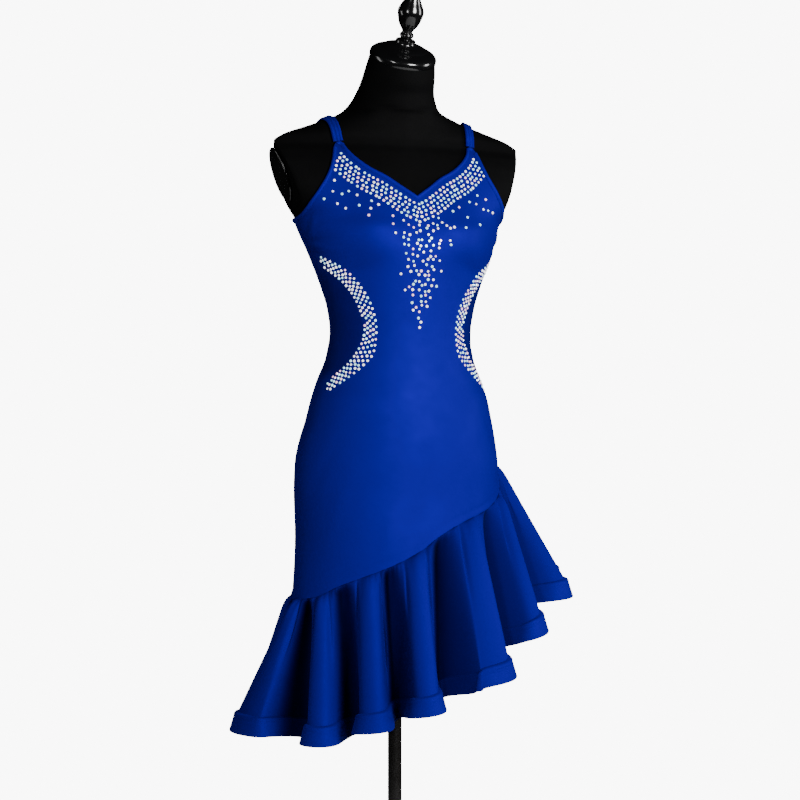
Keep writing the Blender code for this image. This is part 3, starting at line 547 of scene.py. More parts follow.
def half_edge(neck, peak, armhole, counts, back=False):
    """The edge from the centre to the side seam as (angle, height), corners kept."""
    runs = [resample(np.stack(edge_angle(rows, back), -1), count)
            for rows, count in zip((neck, peak, armhole), counts)]
    return np.concatenate([runs[0], runs[1][1:], runs[2][1:]])


def full_edge(back):
    """Upper edge right across a panel, anticlockwise as seen from above."""
    if back:
        half = half_edge(BACK_NECK, BACK_PEAK, BACK_ARMHOLE, BACK_COUNTS, True)
        half[-1, 0] = 90 + SIDE_PART
        return np.concatenate([half[::-1], half[1:] * (-1, 1) + (360, 0)])
    half = half_edge(FRONT_NECK, FRONT_PEAK, FRONT_ARMHOLE, FRONT_COUNTS)
    half[-1, 0] = 90 - SIDE_PART
    return np.concatenate([half[:0:-1] * (-1, 1), half])


def edge_shift(edge, width):
    """How (angle, height) change over one width square to the edge, into the panel: the step is
    split into a turn and a climb by the skin's two tangents."""
    angle, z = edge.T
    turn, climb = 0.5, 0.002       # degrees and metres
    here = cloth(angle, z, EASE)
    by_angle = cloth(angle + turn, z, EASE) - cloth(angle - turn, z, EASE)
    by_height = (cloth(angle, z + climb, EASE) - cloth(angle, z - climb, EASE)) / (2 * climb)
    along = unit(np.gradient(here, axis=0))
    step = unit(np.cross(along, np.cross(by_angle, by_height))) * width
    tangents = np.stack([by_angle, by_height], -1)
    metric = np.einsum("nki,nkj->nij", tangents, tangents)
    pull = np.einsum("nki,nk->ni", tangents, step)
    shift = np.linalg.solve(metric, pull[..., None])[..., 0]
    shift[[0, -1], 0] = 0
    return shift


def panel_grid(back):
    """Angles and heights of a panel: level rows at the waist, slanting evenly down to the
    flounce's seam and fanned up to the edge, where the last rows cover the binding's width."""
    edge = full_edge(back)
    start = 90 if back else -90
    foot = np.linspace(start + SIDE_PART, start + 180 - SIDE_PART, len(edge))
    shift = edge_shift(edge, BINDING_WIDTH)
    inner = edge + shift
    hem = seam_height(foot) - SEAM_LAP / 4
    skirt = np.linspace(0, 1, SKIRT_ROWS, endpoint=False)[:, None]
    low_z = hem + (WAIST_LEVELS[0] - hem) * skirt
    mid_z = np.repeat(WAIST_LEVELS[:, None], len(foot), axis=1)
    rise = np.linspace(0, 1, BODICE_ROWS)[1:, None]
    top_z = SIDE_GRID_LEVEL + (inner[:, 1] - SIDE_GRID_LEVEL) * rise
    top_angle = foot + (inner[:, 0] - foot) * (1 - (1 - rise) ** FAN_HASTE)
    share = np.linspace(1, 0, EDGE_ROWS)[1:, None]
    rim_angle, rim_z = edge[:, 0] + shift[:, 0] * share, edge[:, 1] + shift[:, 1] * share
    straight = np.repeat(foot[None, :], len(low_z) + len(mid_z), axis=0)
    return (np.concatenate([straight, top_angle, rim_angle]),
            np.concatenate([low_z, mid_z, top_z, rim_z]))


def sheath_relief(angle, z):
    """How far the satin's surface stands from its plain form: each crease is a bell across its
    line and a bell along it, and a rolled edge lies just above the flounce's seam."""
    relief = np.zeros(np.shape(angle))
    metre = metres_per_degree(z)
    for crease in named(CREASES, CREASE_COLUMNS):
        round_it, up_it = (angle - crease["angle"]) * metre, z - crease["z"]
        turn = np.radians(crease["slope"])
        along = round_it * np.cos(turn) + up_it * np.sin(turn)
        across = -round_it * np.sin(turn) + up_it * np.cos(turn)
        relief = relief + (crease["height"] * bell(along / crease["length"])
                           * bell(across / crease["width"]))
    above = z - seam_height(angle)
    for middle, width, height in SEAM_ROLL:
        relief = relief + height * bell((above - middle) / width)
    return relief


def painted_side_shade(angle, z):
    """Painted shade behind the crescents, where the sides turn away from the light: full from their
    inner line towards the side seam, fading above and below them and again towards the back."""
    turn = np.abs((angle + 180) % 360 - 180)
    line = np.array(CRESCENT_INNER)[::-1]
    start = np.interp(z, line[:, 1], line[:, 0])
    inside = (np.clip((turn - start + SIDE_SHADE_LEAD) / SIDE_SHADE_RUN, 0, 1)
              * np.clip((SIDE_SHADE_BACK - turn) / SIDE_SHADE_FADE, 0, 1))
    ends = (np.clip((z - line[0, 1]) / SIDE_SHADE_END, 0, 1)
            * np.clip((line[-1, 1] - z) / SIDE_SHADE_END, 0, 1))
    return PAINTED_SIDE_SHADE * inside * ends


def sheath_point(angle, z, lift=0.0):
    """A point of the sheath's outer surface, creases counted, moved out by lift."""
    return cloth(angle, z, EASE + CLOTH + sheath_relief(angle, z) + lift)


# ---------------------------------------------------------------- the flounce
FINE_FLUTE = 80            # columns for each flute
FLOUNCE_DROPS = np.linspace(1, 0, 58) ** 1.5   # rows, closer together towards the seam
FLOUNCE_PART = 0.0006      # share of a flute from each end to the joining seam
# Broad flutes: place and swell of the hem's radius there, and the share of a flute that swells.
FULLNESS = ((0.28, 0.024), (3.69, 0.034), (4.76, 0.014))
FULL_WIDTH = 0.13
SEAM_HOLD = 0.008          # share of the drop over which the seam holds the gathers flat
PLEAT_OPENING = (0.55, 0.9)    # share of a pleat's width at the seam, and its growth to the hem
PLEAT_START, PLEAT_END = 0.012, 0.06   # shares of the drop over which pleats start and end
# The gathers' uneven pitch: swing and pace of each slow wave, in flutes, and its start.
UNEVEN = ((0.11, 0.8, 0), (0.07, 1.4, 1))
# Fine gathers: number in a flute, start, height, share of the drop over which they fade.
FINE_GATHERS = ((7, 0, 0.0007, 0.05), (13, 2, 0.0004, 0.035))
# How far the valleys sink in below the seam, how narrow they are, over what share of the drop
# they start and the power by which they fade towards the hem.
FOLD_SINK, SINK_NARROW, SINK_START, SINK_FADE = 0.022, 1.4, 0.06, 1.5
# Painted shade in the valleys: how dark the cloth is drawn in a valley, where it is darkest in a
# flute, the half widths of that shade towards the crest before and the crest after, and the
# share of the drop where it starts.
PAINTED_FOLD_SHADE, FOLD_SHADE_PLACE, FOLD_SHADE_WIDTHS, FOLD_SHADE_START = 0.98, 0.42, (0.13, 0.25), 0.015
PAINTED_SEAM_SHADOW, SEAM_SHADOW_REACH = 0.85, 0.006   # painted shadow line in the seam, and its reach as a share of the drop
BAND_SHADE_SHARE = 0.9            # share of that painted shade which the hem band takes


def flounce_relief(u, drop):
    """Secondary pleats and fine gathers: each pleat is a bell across the flute and a bell down
    it; the gathers are waves of uneven pitch that die away below the seam."""
    relief, gathers, uneven = np.zeros(np.shape(u)), np.zeros(np.shape(u)), u
    for pleat in named(PLEATS, PLEAT_COLUMNS):
        width = pleat["width"] * (PLEAT_OPENING[0] + PLEAT_OPENING[1] * drop)
        relief = relief + (pleat["height"] * bell(flutes_away(u, pleat["place"]) / width)
                           * bell((drop - pleat["deepest"]) / pleat["spread"]))
    for swing, pace, start in UNEVEN:
        uneven = uneven + swing * np.sin(2 * np.pi * pace * u + start)
    for count, start, height, reach in FINE_GATHERS:
        wave = np.cos(2 * np.pi * count * uneven + start)
        gathers = gathers + height * wave * np.exp(-drop / reach)
    hollow = 0.5 - 0.5 * np.cos(2 * np.pi * u)
    sink = (FOLD_SINK * hollow ** SINK_NARROW * eased(drop, SINK_START)
            * (1 - drop) ** SINK_FADE)
    begun = eased(drop, PLEAT_START)
    return relief * (1 - bell((1 - drop) / PLEAT_END)) * begun - sink + gathers * begun


def flounce(u, drop):
    """A point of the flounce.  u counts flutes with a crest at each whole number, drop runs from
    0 at the seam to 1 at the band.  A straight line leads from the seam to a meandering hem
    whose crests and valleys stand at their own angles and radii; gathers ripple it at the seam
    and fade below, all moved along the body's level outward direction."""
    seam_angle = round_table(u, FOLD["seam"], 360)
    top = seam_height(seam_angle) + SEAM_LAP
    start = cloth(seam_angle, top, EASE + CLOTH / 2)
    crest = 0.5 + 0.5 * np.cos(2 * np.pi * u)
    valley_radius = round_table(u - 0.5, FOLD["valley_radius"])
    radius = valley_radius + (round_table(u, FOLD["crest_radius"]) - valley_radius) * crest
    for place, swell in FULLNESS:
        radius = radius + swell * bell(flutes_away(u, place) / FULL_WIDTH)
    swing = u + MEANDER * np.sin(4 * np.pi * u)
    stations = np.stack([FOLD["crest"], FOLD["valley"]], -1).ravel()
    angle = np.radians(round_table(swing, stations, 360, per_unit=2))
    end_z = round_table(u, FOLD["hem"]) + BAND_HEIGHT + VALLEY_LIFT * (1 - crest)
    x = start[..., 0] + (radius * np.sin(angle) - start[..., 0]) * drop
    y = start[..., 1] + (-radius * np.cos(angle) - start[..., 1]) * drop
    z = top + (end_z - top) * drop
    ripple = (GATHER_DEPTH * np.cos(2 * np.pi * GATHERS_PER_FLUTE * u) * eased(drop, SEAM_HOLD)
              * np.exp(-drop / GATHER_REACH))
    spring = (ripple + SEAM_PUFF * eased(drop, PUFF_RUN) * (1 - drop)
              + flounce_relief(u, drop))
    out = unit((cloth(seam_angle, top, EASE + CLOTH) - cloth(seam_angle, top, EASE)) * (1, 1, 0))
    return np.stack([x + out[..., 0] * spring, y + out[..., 1] * spring, z], -1)


def flounce_normal(u, drop):
    """Outward direction of the flounce: the cross product of a small step round it and a small
    step up it."""
    step = 0.004                   # of a flute and of the drop
    low, high = np.clip(drop - step, 0, 1), np.clip(drop + step, 0, 1)
    round_it = flounce(u + step, drop) - flounce(u - step, drop)
    return unit(np.cross(round_it, flounce(u, low) - flounce(u, high)))


def painted_fold_shade(u, drop):
    """Painted shade in a fold: a lopsided bell across each valley, steep after one crest and slow
    towards the next, that starts a little below the seam, and a painted shadow line in the seam
    itself."""
    away = u % 1 - FOLD_SHADE_PLACE
    fold = PAINTED_FOLD_SHADE * bell(away / np.where(away < 0, *FOLD_SHADE_WIDTHS)) * eased(drop, FOLD_SHADE_START)
    return 1 - (1 - fold) * (1 - PAINTED_SEAM_SHADOW * np.exp(-drop / SEAM_SHADOW_REACH))


def flounce_columns(span):
    """Places along the hem between two joining seams, a hair short of each."""
    u = np.linspace(span[0], span[1], int(round((span[1] - span[0]) * FINE_FLUTE)) + 1)
    u[[0, -1]] += (FLOUNCE_PART, -FLOUNCE_PART)
    return u


def band_grid(u):
    """The hem band's middle surface: its section carried round the flounce's lower edge, square
    to the cloth and level, shallower in the valleys."""
    end = flounce(u, np.ones_like(u)) - (0, 0, BAND_LAP)
    level = unit(flounce_normal(u, np.ones_like(u)) * (1, 1, 0))
    fullness = BAND_FULLNESS[0] + BAND_FULLNESS[1] * np.cos(2 * np.pi * u)
    shelf, flare, down = np.array(BAND_SECTION, float).T
    out = (shelf[:, None] * BAND_SHELF + flare[:, None] * BAND_FLARE) * fullness
    grid = end + level * out[..., None] - down[:, None, None] * (0, 0, 1.0)
    return grid[::-1]


def grid_normal(points):
    """Outward direction of a grid of points: the cross product of its steps round and up."""
    return unit(np.cross(np.gradient(points, axis=1), np.gradient(points, axis=0)))


# ---------------------------------------------------------------- straps
STRAP_STATIONS = 90
STRAP_OUTLINE = 31         # points across the strap, above and below
STRAP_EVEN = 7             # stations over which its lean is evened out
STRAP_SINK = 0.0006        # how far it settles into its ease
STRAP_EDGE = 0.05          # share of its width over which the edges round off
STRAP_UNDER, STRAP_OVER = 0.0003, 0.0009   # lift of its underside and of its upper side


def shoulder(across, turn, lift):
    """Where a ray from the shoulder's core, turned from the front over the top, leaves the form,
    found by halving the range, and the form's outward normal there."""
    def level(x, y, z):
        a, front, back, ridge, corner = (
            smooth(z, BODY["z"], BODY[name]) for name in SECTION_COLUMNS[1:6])
        depth = np.where(y < ridge, front + ridge, back - ridge)
        return (np.abs(x) / a) ** corner + (np.abs(y - ridge) / depth) ** corner - 1

    ray = np.stack([0 * turn, -np.cos(np.radians(turn)), np.sin(np.radians(turn))], -1)
    core = np.stack([across, across * 0 + STRAP_CORE[0], across * 0 + STRAP_CORE[1]], -1)
    reach, halvings, step = 0.16, 40, 0.003
    near, far = np.zeros(len(turn)), np.full(len(turn), reach)
    for _ in range(halvings):
        half = (near + far) / 2
        inside = level(*(core + ray * half[:, None]).T) < 0
        near, far = np.where(inside, half, near), np.where(inside, far, half)
    point = core + ray * near[:, None]
    rise = [level(*(point + d).T) - level(*(point - d).T) for d in np.eye(3) * step]
    outward = unit(np.stack(rise, -1))
    return point + outward * lift, outward


def strap_rings(side):
    """A ribbon over the shoulder: stations along the path, each with an outline whose upper side
    carries rounded ribs, the height of a cosine, and whose edges are rounded."""
    path = np.array(STRAP_PATH)
    turn = np.linspace(path[0, 0], path[-1, 0], STRAP_STATIONS)
    across_at = smooth(turn, path[:, 0], path[:, 1])
    point, outward = shoulder(across_at, turn, STRAP_EASE - STRAP_SINK)
    ends = STRAP_EVEN // 2
    outward = np.concatenate([outward[:1].repeat(ends, 0), outward, outward[-1:].repeat(ends, 0)])
    outward = unit(np.stack([np.convolve(axis, np.ones(STRAP_EVEN) / STRAP_EVEN, "valid")
                             for axis in outward.T], -1))
    along = unit(np.gradient(point, axis=0))
    across = unit(np.cross(along, outward))
    share = np.linspace(-0.5, 0.5, STRAP_OUTLINE)
    rim = np.clip((0.5 - np.abs(share)) / STRAP_EDGE, 0, 1) ** 0.5
    ribs = STRAP_RIB * (0.5 + 0.5 * np.cos(2 * STRAP_RIBS * np.pi * share))
    top = (STRAP_CLOTH * 0.5 + ribs) * rim + STRAP_OVER
    share = np.concatenate([share, share[::-1]])
    height = np.concatenate([top, np.full(STRAP_OUTLINE, STRAP_UNDER)])
    rings = (point[:, None] + across[:, None] * (share * STRAP_WIDTH)[None, :, None]
             + outward[:, None] * height[None, :, None])
    if side < 0:
        rings = rings[:, ::-1]
    return rings * (side, 1.0, 1.0)


# ---------------------------------------------------------------- bindings
def binding_rings(edge, shift):
    """The binding's section at each point of the edge: each of its points lies a share of the
    shift in from the edge, along the skin, and its own height above the satin."""
    share, height = np.array(BINDING_SECTION).T
    angle = edge[:, :1] + shift[:, :1] * share
    z = edge[:, 1:] + shift[:, 1:] * share
    return cloth(angle, z, EASE + CLOTH + np.broadcast_to(height, angle.shape))


def binding_runs():
    """Edge and shift of the four bindings, named as their solids: the neck bindings run from
    peak to peak, and those of the armholes join a run of the front to one of the back."""
    front, back = full_edge(False), full_edge(True)
    front_shift, back_shift = (edge_shift(edge, BINDING_WIDTH) for edge in (front, back))
    middle, back_middle = len(front) // 2, len(back) // 2
    outer, back_outer = sum(FRONT_COUNTS[:2]), sum(BACK_COUNTS[:2])
    turn = np.array([360.0, 0.0])

    def part(edge, shift, low, high, move=0.0):
        return edge[low:high] - move * turn, shift[low:high]

    def joined(first, second):
        return tuple(np.concatenate(pair) for pair in zip(first, second))

    left = joined(part(front, front_shift, middle + outer + 1, len(front) - 1),
                  part(back, back_shift, 1, back_middle - back_outer))
    right = joined(part(back, back_shift, back_middle + back_outer + 1, len(back) - 1, 1.0),
                   part(front, front_shift, 1, middle - outer))
    return {
        "neck_binding": part(front, front_shift, middle - outer, middle + outer + 1),
        "back_neck_binding": part(back, back_shift, back_middle - back_outer,
                                  back_middle + back_outer + 1),
        "armhole_binding_left": left,
        "armhole_binding_right": right,
    }


# ---------------------------------------------------------------- rhinestones
STONE_SIDES = 8
# Rings of a stone: share of its radius, height as a share of it, turn as a share of a side.
STONE_RINGS = ((1.0, 0.0, 0.0), (1.0, 0.16, 0.0), (0.56, 0.66, 0.5))
STONE_TIPS = (0.02, 0.70)  # heights of the middle points of its foot and its table
STONE_LIFT = 0.02          # of its rings off the satin
STONE_SIZES = (0.86, 1.12) # smallest and largest share of the stated size
STONE_LEAN = 0.10
NORMAL_STEP = 0.001        # lift between two points that give the satin's outward direction
STONE_SEED = 7
CASTS = ((1.0, 1.0, 1.0), (0.50, 0.92, 1.0), (1.0, 0.66, 0.80))   # clear, icy and rosy stones
CAST_SHARES = (0.50, 0.35, 0.15)
CAST_DIMMEST = 0.75
# Garland: its rows' distances from the neck's edge, the stones' pitch and how far each is off
# it, the share of a row's distance and the distances that keep it clear of the edges.
NECK_ROWS = (0.0150, 0.0226, 0.0302, 0.0378, 0.0454)
STONE_PITCH, ROW_JITTER = 0.0084, 0.2
ROW_CLEAR, EDGE_CLEAR, BELOW_EDGE = 0.90, 0.0085, 0.010
# Single stones below it: how many are drawn, from which (angle, height) to which, nearest and
# farthest from the neck's edge, how far apart and clear of the edge, and the share kept nearest.
SCATTER_DRAWN = 1600
SCATTER_LOW, SCATTER_HIGH = (-64, 1.14), (64, 1.335)
SCATTER_REACH = (0.052, 0.100)
SCATTER_GAP, SCATTER_CLEAR, SCATTER_SHARE = 0.0118, 0.011, 0.9
# Centre drop: pitch of its rows and of the stones in one, how far each is off, as a share of
# the pitch and in metres; strays reach further out, by a share of the half width, are drawn
# back by their own share and are thinned.
DROP_ROW, DROP_PITCH = 0.0082, 0.0088
DROP_PAST = 0.001          # how far past the table's last height a row may stand
DROP_JITTER = (0.28, 0.0026)
DROP_STRAY, STRAY_PULL, STRAY_SHARE = 1.8, (0.72, 1.05), 0.30
# Side crescents: shares from the outer line to the inner one, the stones' pitch and size, the
# points along each line, and where a row starts, with every second row half a pitch further on.
CRESCENT_ROWS = (0.05, 0.28, 0.51, 0.74, 0.97)
CRESCENT_PITCH, CRESCENT_SIZE, CRESCENT_STATIONS = 0.0086, 0.94, 60
CRESCENT_START, CRESCENT_STAGGER, CRESCENT_JITTER = 0.25, 0.5, 0.12
# Least distance between stones, as a share of the radius: garland, drop and crescents.
NECK_GAP, DROP_GAP, CRESCENT_GAP = 2.15, 2.3, 2.2


def apart(points, gap):
    """Which points have no earlier point nearer than gap."""
    away = np.linalg.norm(points[:, None] - points[None], axis=2)
    earlier = np.tril(np.ones(away.shape, bool), -1)
    return ~((away < gap) & earlier).any(axis=1)


def clear_of(points, line, gap):
    """Which points have no point of the line within gap."""
    return np.linalg.norm(points[:, None] - line[None], axis=2).min(axis=1) > gap


def on_sheath(places):
    """The points of the sheath at places of (angle, height)."""
    return sheath_point(places[:, 0], places[:, 1])


def evenly(line, count, start, draw, jitter=CRESCENT_JITTER):
    """Places along a line of (angle, height), evenly apart but each a little off; start is where
    the first one stands in its own share of the line."""
    length = path_length(on_sheath(line))
    at = (np.arange(count) + start + draw.uniform(-jitter, jitter, count)) * length[-1] / count
    return np.stack([np.interp(at, length, line[:, k]) for k in (0, 1)], -1)


def length_of(line):
    """Length of a line of (angle, height) on the sheath."""
    return path_length(on_sheath(line))[-1]


def neck_places(draw):
    """Garland: rows at set distances from the neck's edge, trimmed where they would come nearer
    to any edge than they should, and a thin scatter below them."""
    edge = full_edge(False)
    middle, outer = len(edge) // 2, FRONT_COUNTS[0]
    run = slice(middle - outer, middle + outer + 1)
    shift = edge_shift(edge, 1.0)[run]
    rim = cloth(edge[:, 0], edge[:, 1], EASE + CLOTH)

    def below(row):
        """Which places lie lower than the panel's upper edge at their angle."""
        return row[:, 1] < np.interp(row[:, 0], edge[:, 0], edge[:, 1]) - BELOW_EDGE

    places = []
    for distance in NECK_ROWS:
        line = edge[run] + shift * distance
        row = evenly(line, int(length_of(line) / STONE_PITCH), 0.5, draw, ROW_JITTER)
        points = on_sheath(row)
        places.append(row[clear_of(points, rim[run], distance * ROW_CLEAR)
                          & clear_of(points, rim, EDGE_CLEAR) & below(row)])
    singles = draw.uniform(SCATTER_LOW, SCATTER_HIGH, (SCATTER_DRAWN, 2))
    points = on_sheath(singles)
    away = np.linalg.norm(points[:, None] - rim[run][None], axis=2).min(axis=1)
    near, far = SCATTER_REACH
    keep = (below(singles) & clear_of(points, rim, SCATTER_CLEAR) & (away > near)
            & (draw.random(len(away)) < SCATTER_SHARE * (far - away) / (far - near)))
    places.append(singles[keep][apart(points[keep], SCATTER_GAP)])
    return np.concatenate(places)


def drop_places(draw):
    """Centre drop: level rows whose width follows the table and whose stones thin out downwards."""
    table = np.array(DROP)
    heights = np.arange(table[0, 0], table[-1, 0] - DROP_PAST, -DROP_ROW)
    half = np.interp(-heights, -table[:, 0], table[:, 1])
    counts = np.maximum(np.round(2 * half * DROP_STRAY / DROP_PITCH), 1).astype(int)
    row = np.repeat(np.arange(len(heights)), counts)
    order = np.arange(len(row)) - np.repeat(np.cumsum(counts) - counts, counts)
    aside, down = (draw.uniform(-jitter, jitter, len(row)) for jitter in DROP_JITTER)
    share = ((order + 0.5 + aside) / counts[row] * 2 - 1) * DROP_STRAY
    z = heights[row] + down
    core = np.abs(share) < 1
    keep = core | (draw.random(len(row)) < STRAY_SHARE)
    share = share * np.where(core, 1, draw.uniform(*STRAY_PULL, len(row)))
    return np.stack([share * half[row] / metres_per_degree(z), z], -1)[keep]


def crescent_places(side, draw):
    """Side crescent: rows between its outer and inner line, both read at the same share of their
    length."""
    outer, inner = (resample(line, CRESCENT_STATIONS)
                    for line in (CRESCENT_OUTER, CRESCENT_INNER))
    count = int(length_of((outer + inner) / 2) / CRESCENT_PITCH)
    rows = [evenly(outer + (inner - outer) * share, count,
                   CRESCENT_START + CRESCENT_STAGGER * (k % 2), draw)
            for k, share in enumerate(CRESCENT_ROWS)]
    return np.concatenate(rows) * (side, 1)


def put_stones(name, places, radius, gap, finish, draw):
    """One mesh of flat-backed stones: each is a base ring, a girdle ring and a table ring turned
    by half a side, set square on the satin at a turn of its own, with a tint of its own."""
    places = places[apart(on_sheath(places), gap)]
    middle = on_sheath(places)
    normal = unit(sheath_point(*places.T, NORMAL_STEP) - middle)
    across = unit(np.cross((0, 0, 1.0), normal))
    up = np.cross(normal, across)
    count = len(places)
    size = radius * draw.uniform(*STONE_SIZES, count)
    spin = draw.uniform(0, 2 * np.pi, count)
    lean = draw.uniform(-STONE_LEAN, STONE_LEAN, (count, 2))
    normal = unit(normal + across * lean[:, :1] + up * lean[:, 1:])
    side = np.arange(STONE_SIDES) * 2 * np.pi / STONE_SIDES
    points = []
    for share, height, turn in STONE_RINGS:
        at = spin[:, None] + side + turn * (side[1] - side[0])
        flat = np.cos(at)[..., None] * across[:, None] + np.sin(at)[..., None] * up[:, None]
        points.append(middle[:, None] + size[:, None, None]
                      * (flat * share + normal[:, None] * (height + STONE_LIFT)))
    tips = [(middle + normal * (size * height)[:, None])[:, None] for height in STONE_TIPS]
    points = np.concatenate(points + tips, axis=1)
    here = np.arange(STONE_SIDES)
    after = (here + 1) % STONE_SIDES
    base, girdle, table = here, here + STONE_SIDES, here + 2 * STONE_SIDES
    base_after, girdle_after, table_after = (after + k * STONE_SIDES for k in range(3))
    foot, top = np.full(STONE_SIDES, 3 * STONE_SIDES), np.full(STONE_SIDES, 3 * STONE_SIDES + 1)
    one = np.concatenate([
        np.stack([base, base_after, girdle_after, girdle], -1),
        np.stack([girdle, girdle_after, table, table], -1),
        np.stack([girdle_after, table_after, table, table], -1),
        np.stack([table, table_after, top, top], -1),
        np.stack([base_after, base, foot, foot], -1)])
    quads = (np.arange(count)[:, None, None] * points.shape[1] + one).reshape(-1, 4)
    stones = put_mesh(name, points, quads, finish, flat=True)
    cast = np.searchsorted(np.cumsum(CAST_SHARES)[:-1], draw.random(count))
    tint = np.array(CASTS)[cast] * draw.uniform(CAST_DIMMEST, 1.0, (count, 1))
    layer = stones.data.color_attributes.new("tint", "FLOAT_COLOR", "POINT")
    colours = np.concatenate([tint, np.ones((count, 1))], axis=1)
    layer.data.foreach_set("color", np.repeat(colours, points.shape[1], axis=0).ravel())
    return stones


# ---------------------------------------------------------------- materials
WEAVE_PITCH, WEAVE_TURN = 0.0007, 0.5   # metres, and radians off the cloth's length
BRAID_PITCH = (0.0055, 0.0030) # of the hem braid's rows and of its upright threads
RIB_PITCH = 0.0012             # of the form's knitted cover


def shader_of(name):
    """A new material, its node tree and its main shader."""
    finish = bpy.data.materials.new(name)
    finish.use_nodes = True
    tree = finish.node_tree
    return finish, tree, tree.nodes["Principled BSDF"]


def put(shader, **values):
    """Sets the shader's sockets, named with underscores for spaces."""
    for name, value in values.items():
        shader.inputs[name.replace("_", " ")].default_value = value


def coordinates(tree, kind, turn=0.0):
    """The piece's own UV or Object coordinates, turned by an angle."""
    source = tree.nodes.new("ShaderNodeTexCoord")
    place = tree.nodes.new("ShaderNodeMapping")
    place.inputs["Rotation"].default_value = (0, 0, turn)
    tree.links.new(source.outputs[kind], place.inputs["Vector"])
    return place.outputs["Vector"]


def noise(tree, where, scale, detail=2.0):
    """Soft cloudy values, about scale of them in a metre."""
    texture = tree.nodes.new("ShaderNodeTexNoise")
    texture.inputs["Scale"].default_value = scale
    texture.inputs["Detail"].default_value = detail
    tree.links.new(where, texture.inputs["Vector"])
    return texture.outputs["Fac"]


def bands(tree, where, pitch, axis="X"):
    """Waves that repeat every pitch metres."""
    texture = tree.nodes.new("ShaderNodeTexWave")
    texture.bands_direction = axis
    texture.inputs["Scale"].default_value = 2 * np.pi / (20 * pitch)
    tree.links.new(where, texture.inputs["Vector"])
    return texture.outputs["Fac"]


def bump(tree, height, distance, strength, under=None):
    """A normal raised by a height of up to distance metres, on top of the one under it."""
    node = tree.nodes.new("ShaderNodeBump")
    node.inputs["Distance"].default_value = distance
    node.inputs["Strength"].default_value = strength
    tree.links.new(height, node.inputs["Height"])
    if under is not None:
        tree.links.new(under, node.inputs["Normal"])
    return node.outputs["Normal"]


def attribute(tree, name, output):
    """A value that the mesh holds at each of its points."""
    node = tree.nodes.new("ShaderNodeAttribute")
    node.attribute_name = name
    return node.outputs[output]


def ramp(tree, factor, low, high):
    """Mixes a colour, or a socket that gives one, with another by a factor."""
    mix = tree.nodes.new("ShaderNodeMix")
    mix.data_type = "RGBA"
    if isinstance(low, bpy.types.NodeSocket):
        tree.links.new(low, mix.inputs["A"])
    else:
        mix.inputs["A"].default_value = (*low, 1)
    mix.inputs["B"].default_value = (*high, 1)
    tree.links.new(factor, mix.inputs["Factor"])
    return mix.outputs["Result"]


def spread(tree, factor, low, high):
    """Maps a factor of 0.3 to 0.7 onto low to high."""
    node = tree.nodes.new("ShaderNodeMapRange")
    node.inputs["From Min"].default_value = 0.3
    node.inputs["From Max"].default_value = 0.7
    node.inputs["To Min"].default_value = low
    node.inputs["To Max"].default_value = high
    tree.links.new(factor, node.inputs["Value"])
    return node.outputs["Result"]


def satin(name, colour, roughness, shade=0.80, gloss=1.0, braided=False):
    """Stretch satin: a fine slanting weave, a soft unevenness, a sheen in the cloth's colour.
    shade is how dark its cloudy parts are, gloss how strongly it shines, and the attribute
    named shade, which holds painted shade, turns it towards black."""
    finish, tree, shader = shader_of(name)
    body = coordinates(tree, "Object")
    soft = noise(tree, body, scale=34.0, detail=3.0)
    normal = bump(tree, soft, distance=0.0008, strength=0.22)
    weave = bands(tree, coordinates(tree, "UV", turn=WEAVE_TURN), WEAVE_PITCH)
    normal = bump(tree, weave, distance=0.0001, strength=0.18, under=normal)
    if braided:
        sewn = coordinates(tree, "UV")
        normal = bump(tree, bands(tree, sewn, BRAID_PITCH[0], "Y"), distance=0.0004,
                      strength=0.30, under=normal)
        normal = bump(tree, bands(tree, sewn, BRAID_PITCH[1], "X"), distance=0.0002,
                      strength=0.15, under=normal)
    cloudy = ramp(tree, noise(tree, body, scale=7.0), tuple(c * shade for c in colour), colour)
    # painted shade: the shade attribute mixes the colour towards black
    tree.links.new(ramp(tree, attribute(tree, "shade", "Fac"), cloudy, (0, 0, 0)),
                   shader.inputs["Base Color"])
    tree.links.new(spread(tree, soft, low=roughness - 0.03, high=roughness + 0.04),
                   shader.inputs["Roughness"])
    tree.links.new(normal, shader.inputs["Normal"])
    put(shader, Metallic=0.45 * gloss, Specular_IOR_Level=0.32 * gloss,
        Specular_Tint=(0.03, 0.04, 1.0, 1.0), Sheen_Weight=0.08, Sheen_Roughness=0.4,
        Sheen_Tint=(0.05, 0.05, 1.0, 1.0))
    return finish


def jersey(name):
    """Black knitted cover: fine upright ribs and a slight mottling."""
    finish, tree, shader = shader_of(name)
    body = coordinates(tree, "Object")
    cloudy = noise(tree, body, scale=60.0, detail=4.0)
    tree.links.new(ramp(tree, cloudy, (0.0006, 0.0006, 0.0007), (0.0014, 0.0014, 0.0016)),
                   shader.inputs["Base Color"])
    normal = bump(tree, bands(tree, body, RIB_PITCH), distance=0.0002, strength=0.35)
    normal = bump(tree, cloudy, distance=0.0004, strength=0.2, under=normal)
    tree.links.new(normal, shader.inputs["Normal"])
    put(shader, Roughness=0.70, Specular_IOR_Level=0.045)
    return finish


def enamel(name, colour, roughness, metallic=0.0, coat=0.0):
    """Smooth dark finish whose gloss and tone are slightly uneven."""
    finish, tree, shader = shader_of(name)
    uneven = noise(tree, coordinates(tree, "Object"), scale=22.0, detail=3.0)
    lighter = tuple(c * 1.5 + 0.001 for c in colour)
    tree.links.new(ramp(tree, uneven, colour, lighter), shader.inputs["Base Color"])
    tree.links.new(spread(tree, uneven, low=roughness * 0.85, high=roughness * 1.25),
                   shader.inputs["Roughness"])
    put(shader, Metallic=metallic, Coat_Weight=coat, Coat_Roughness=0.05)
    return finish


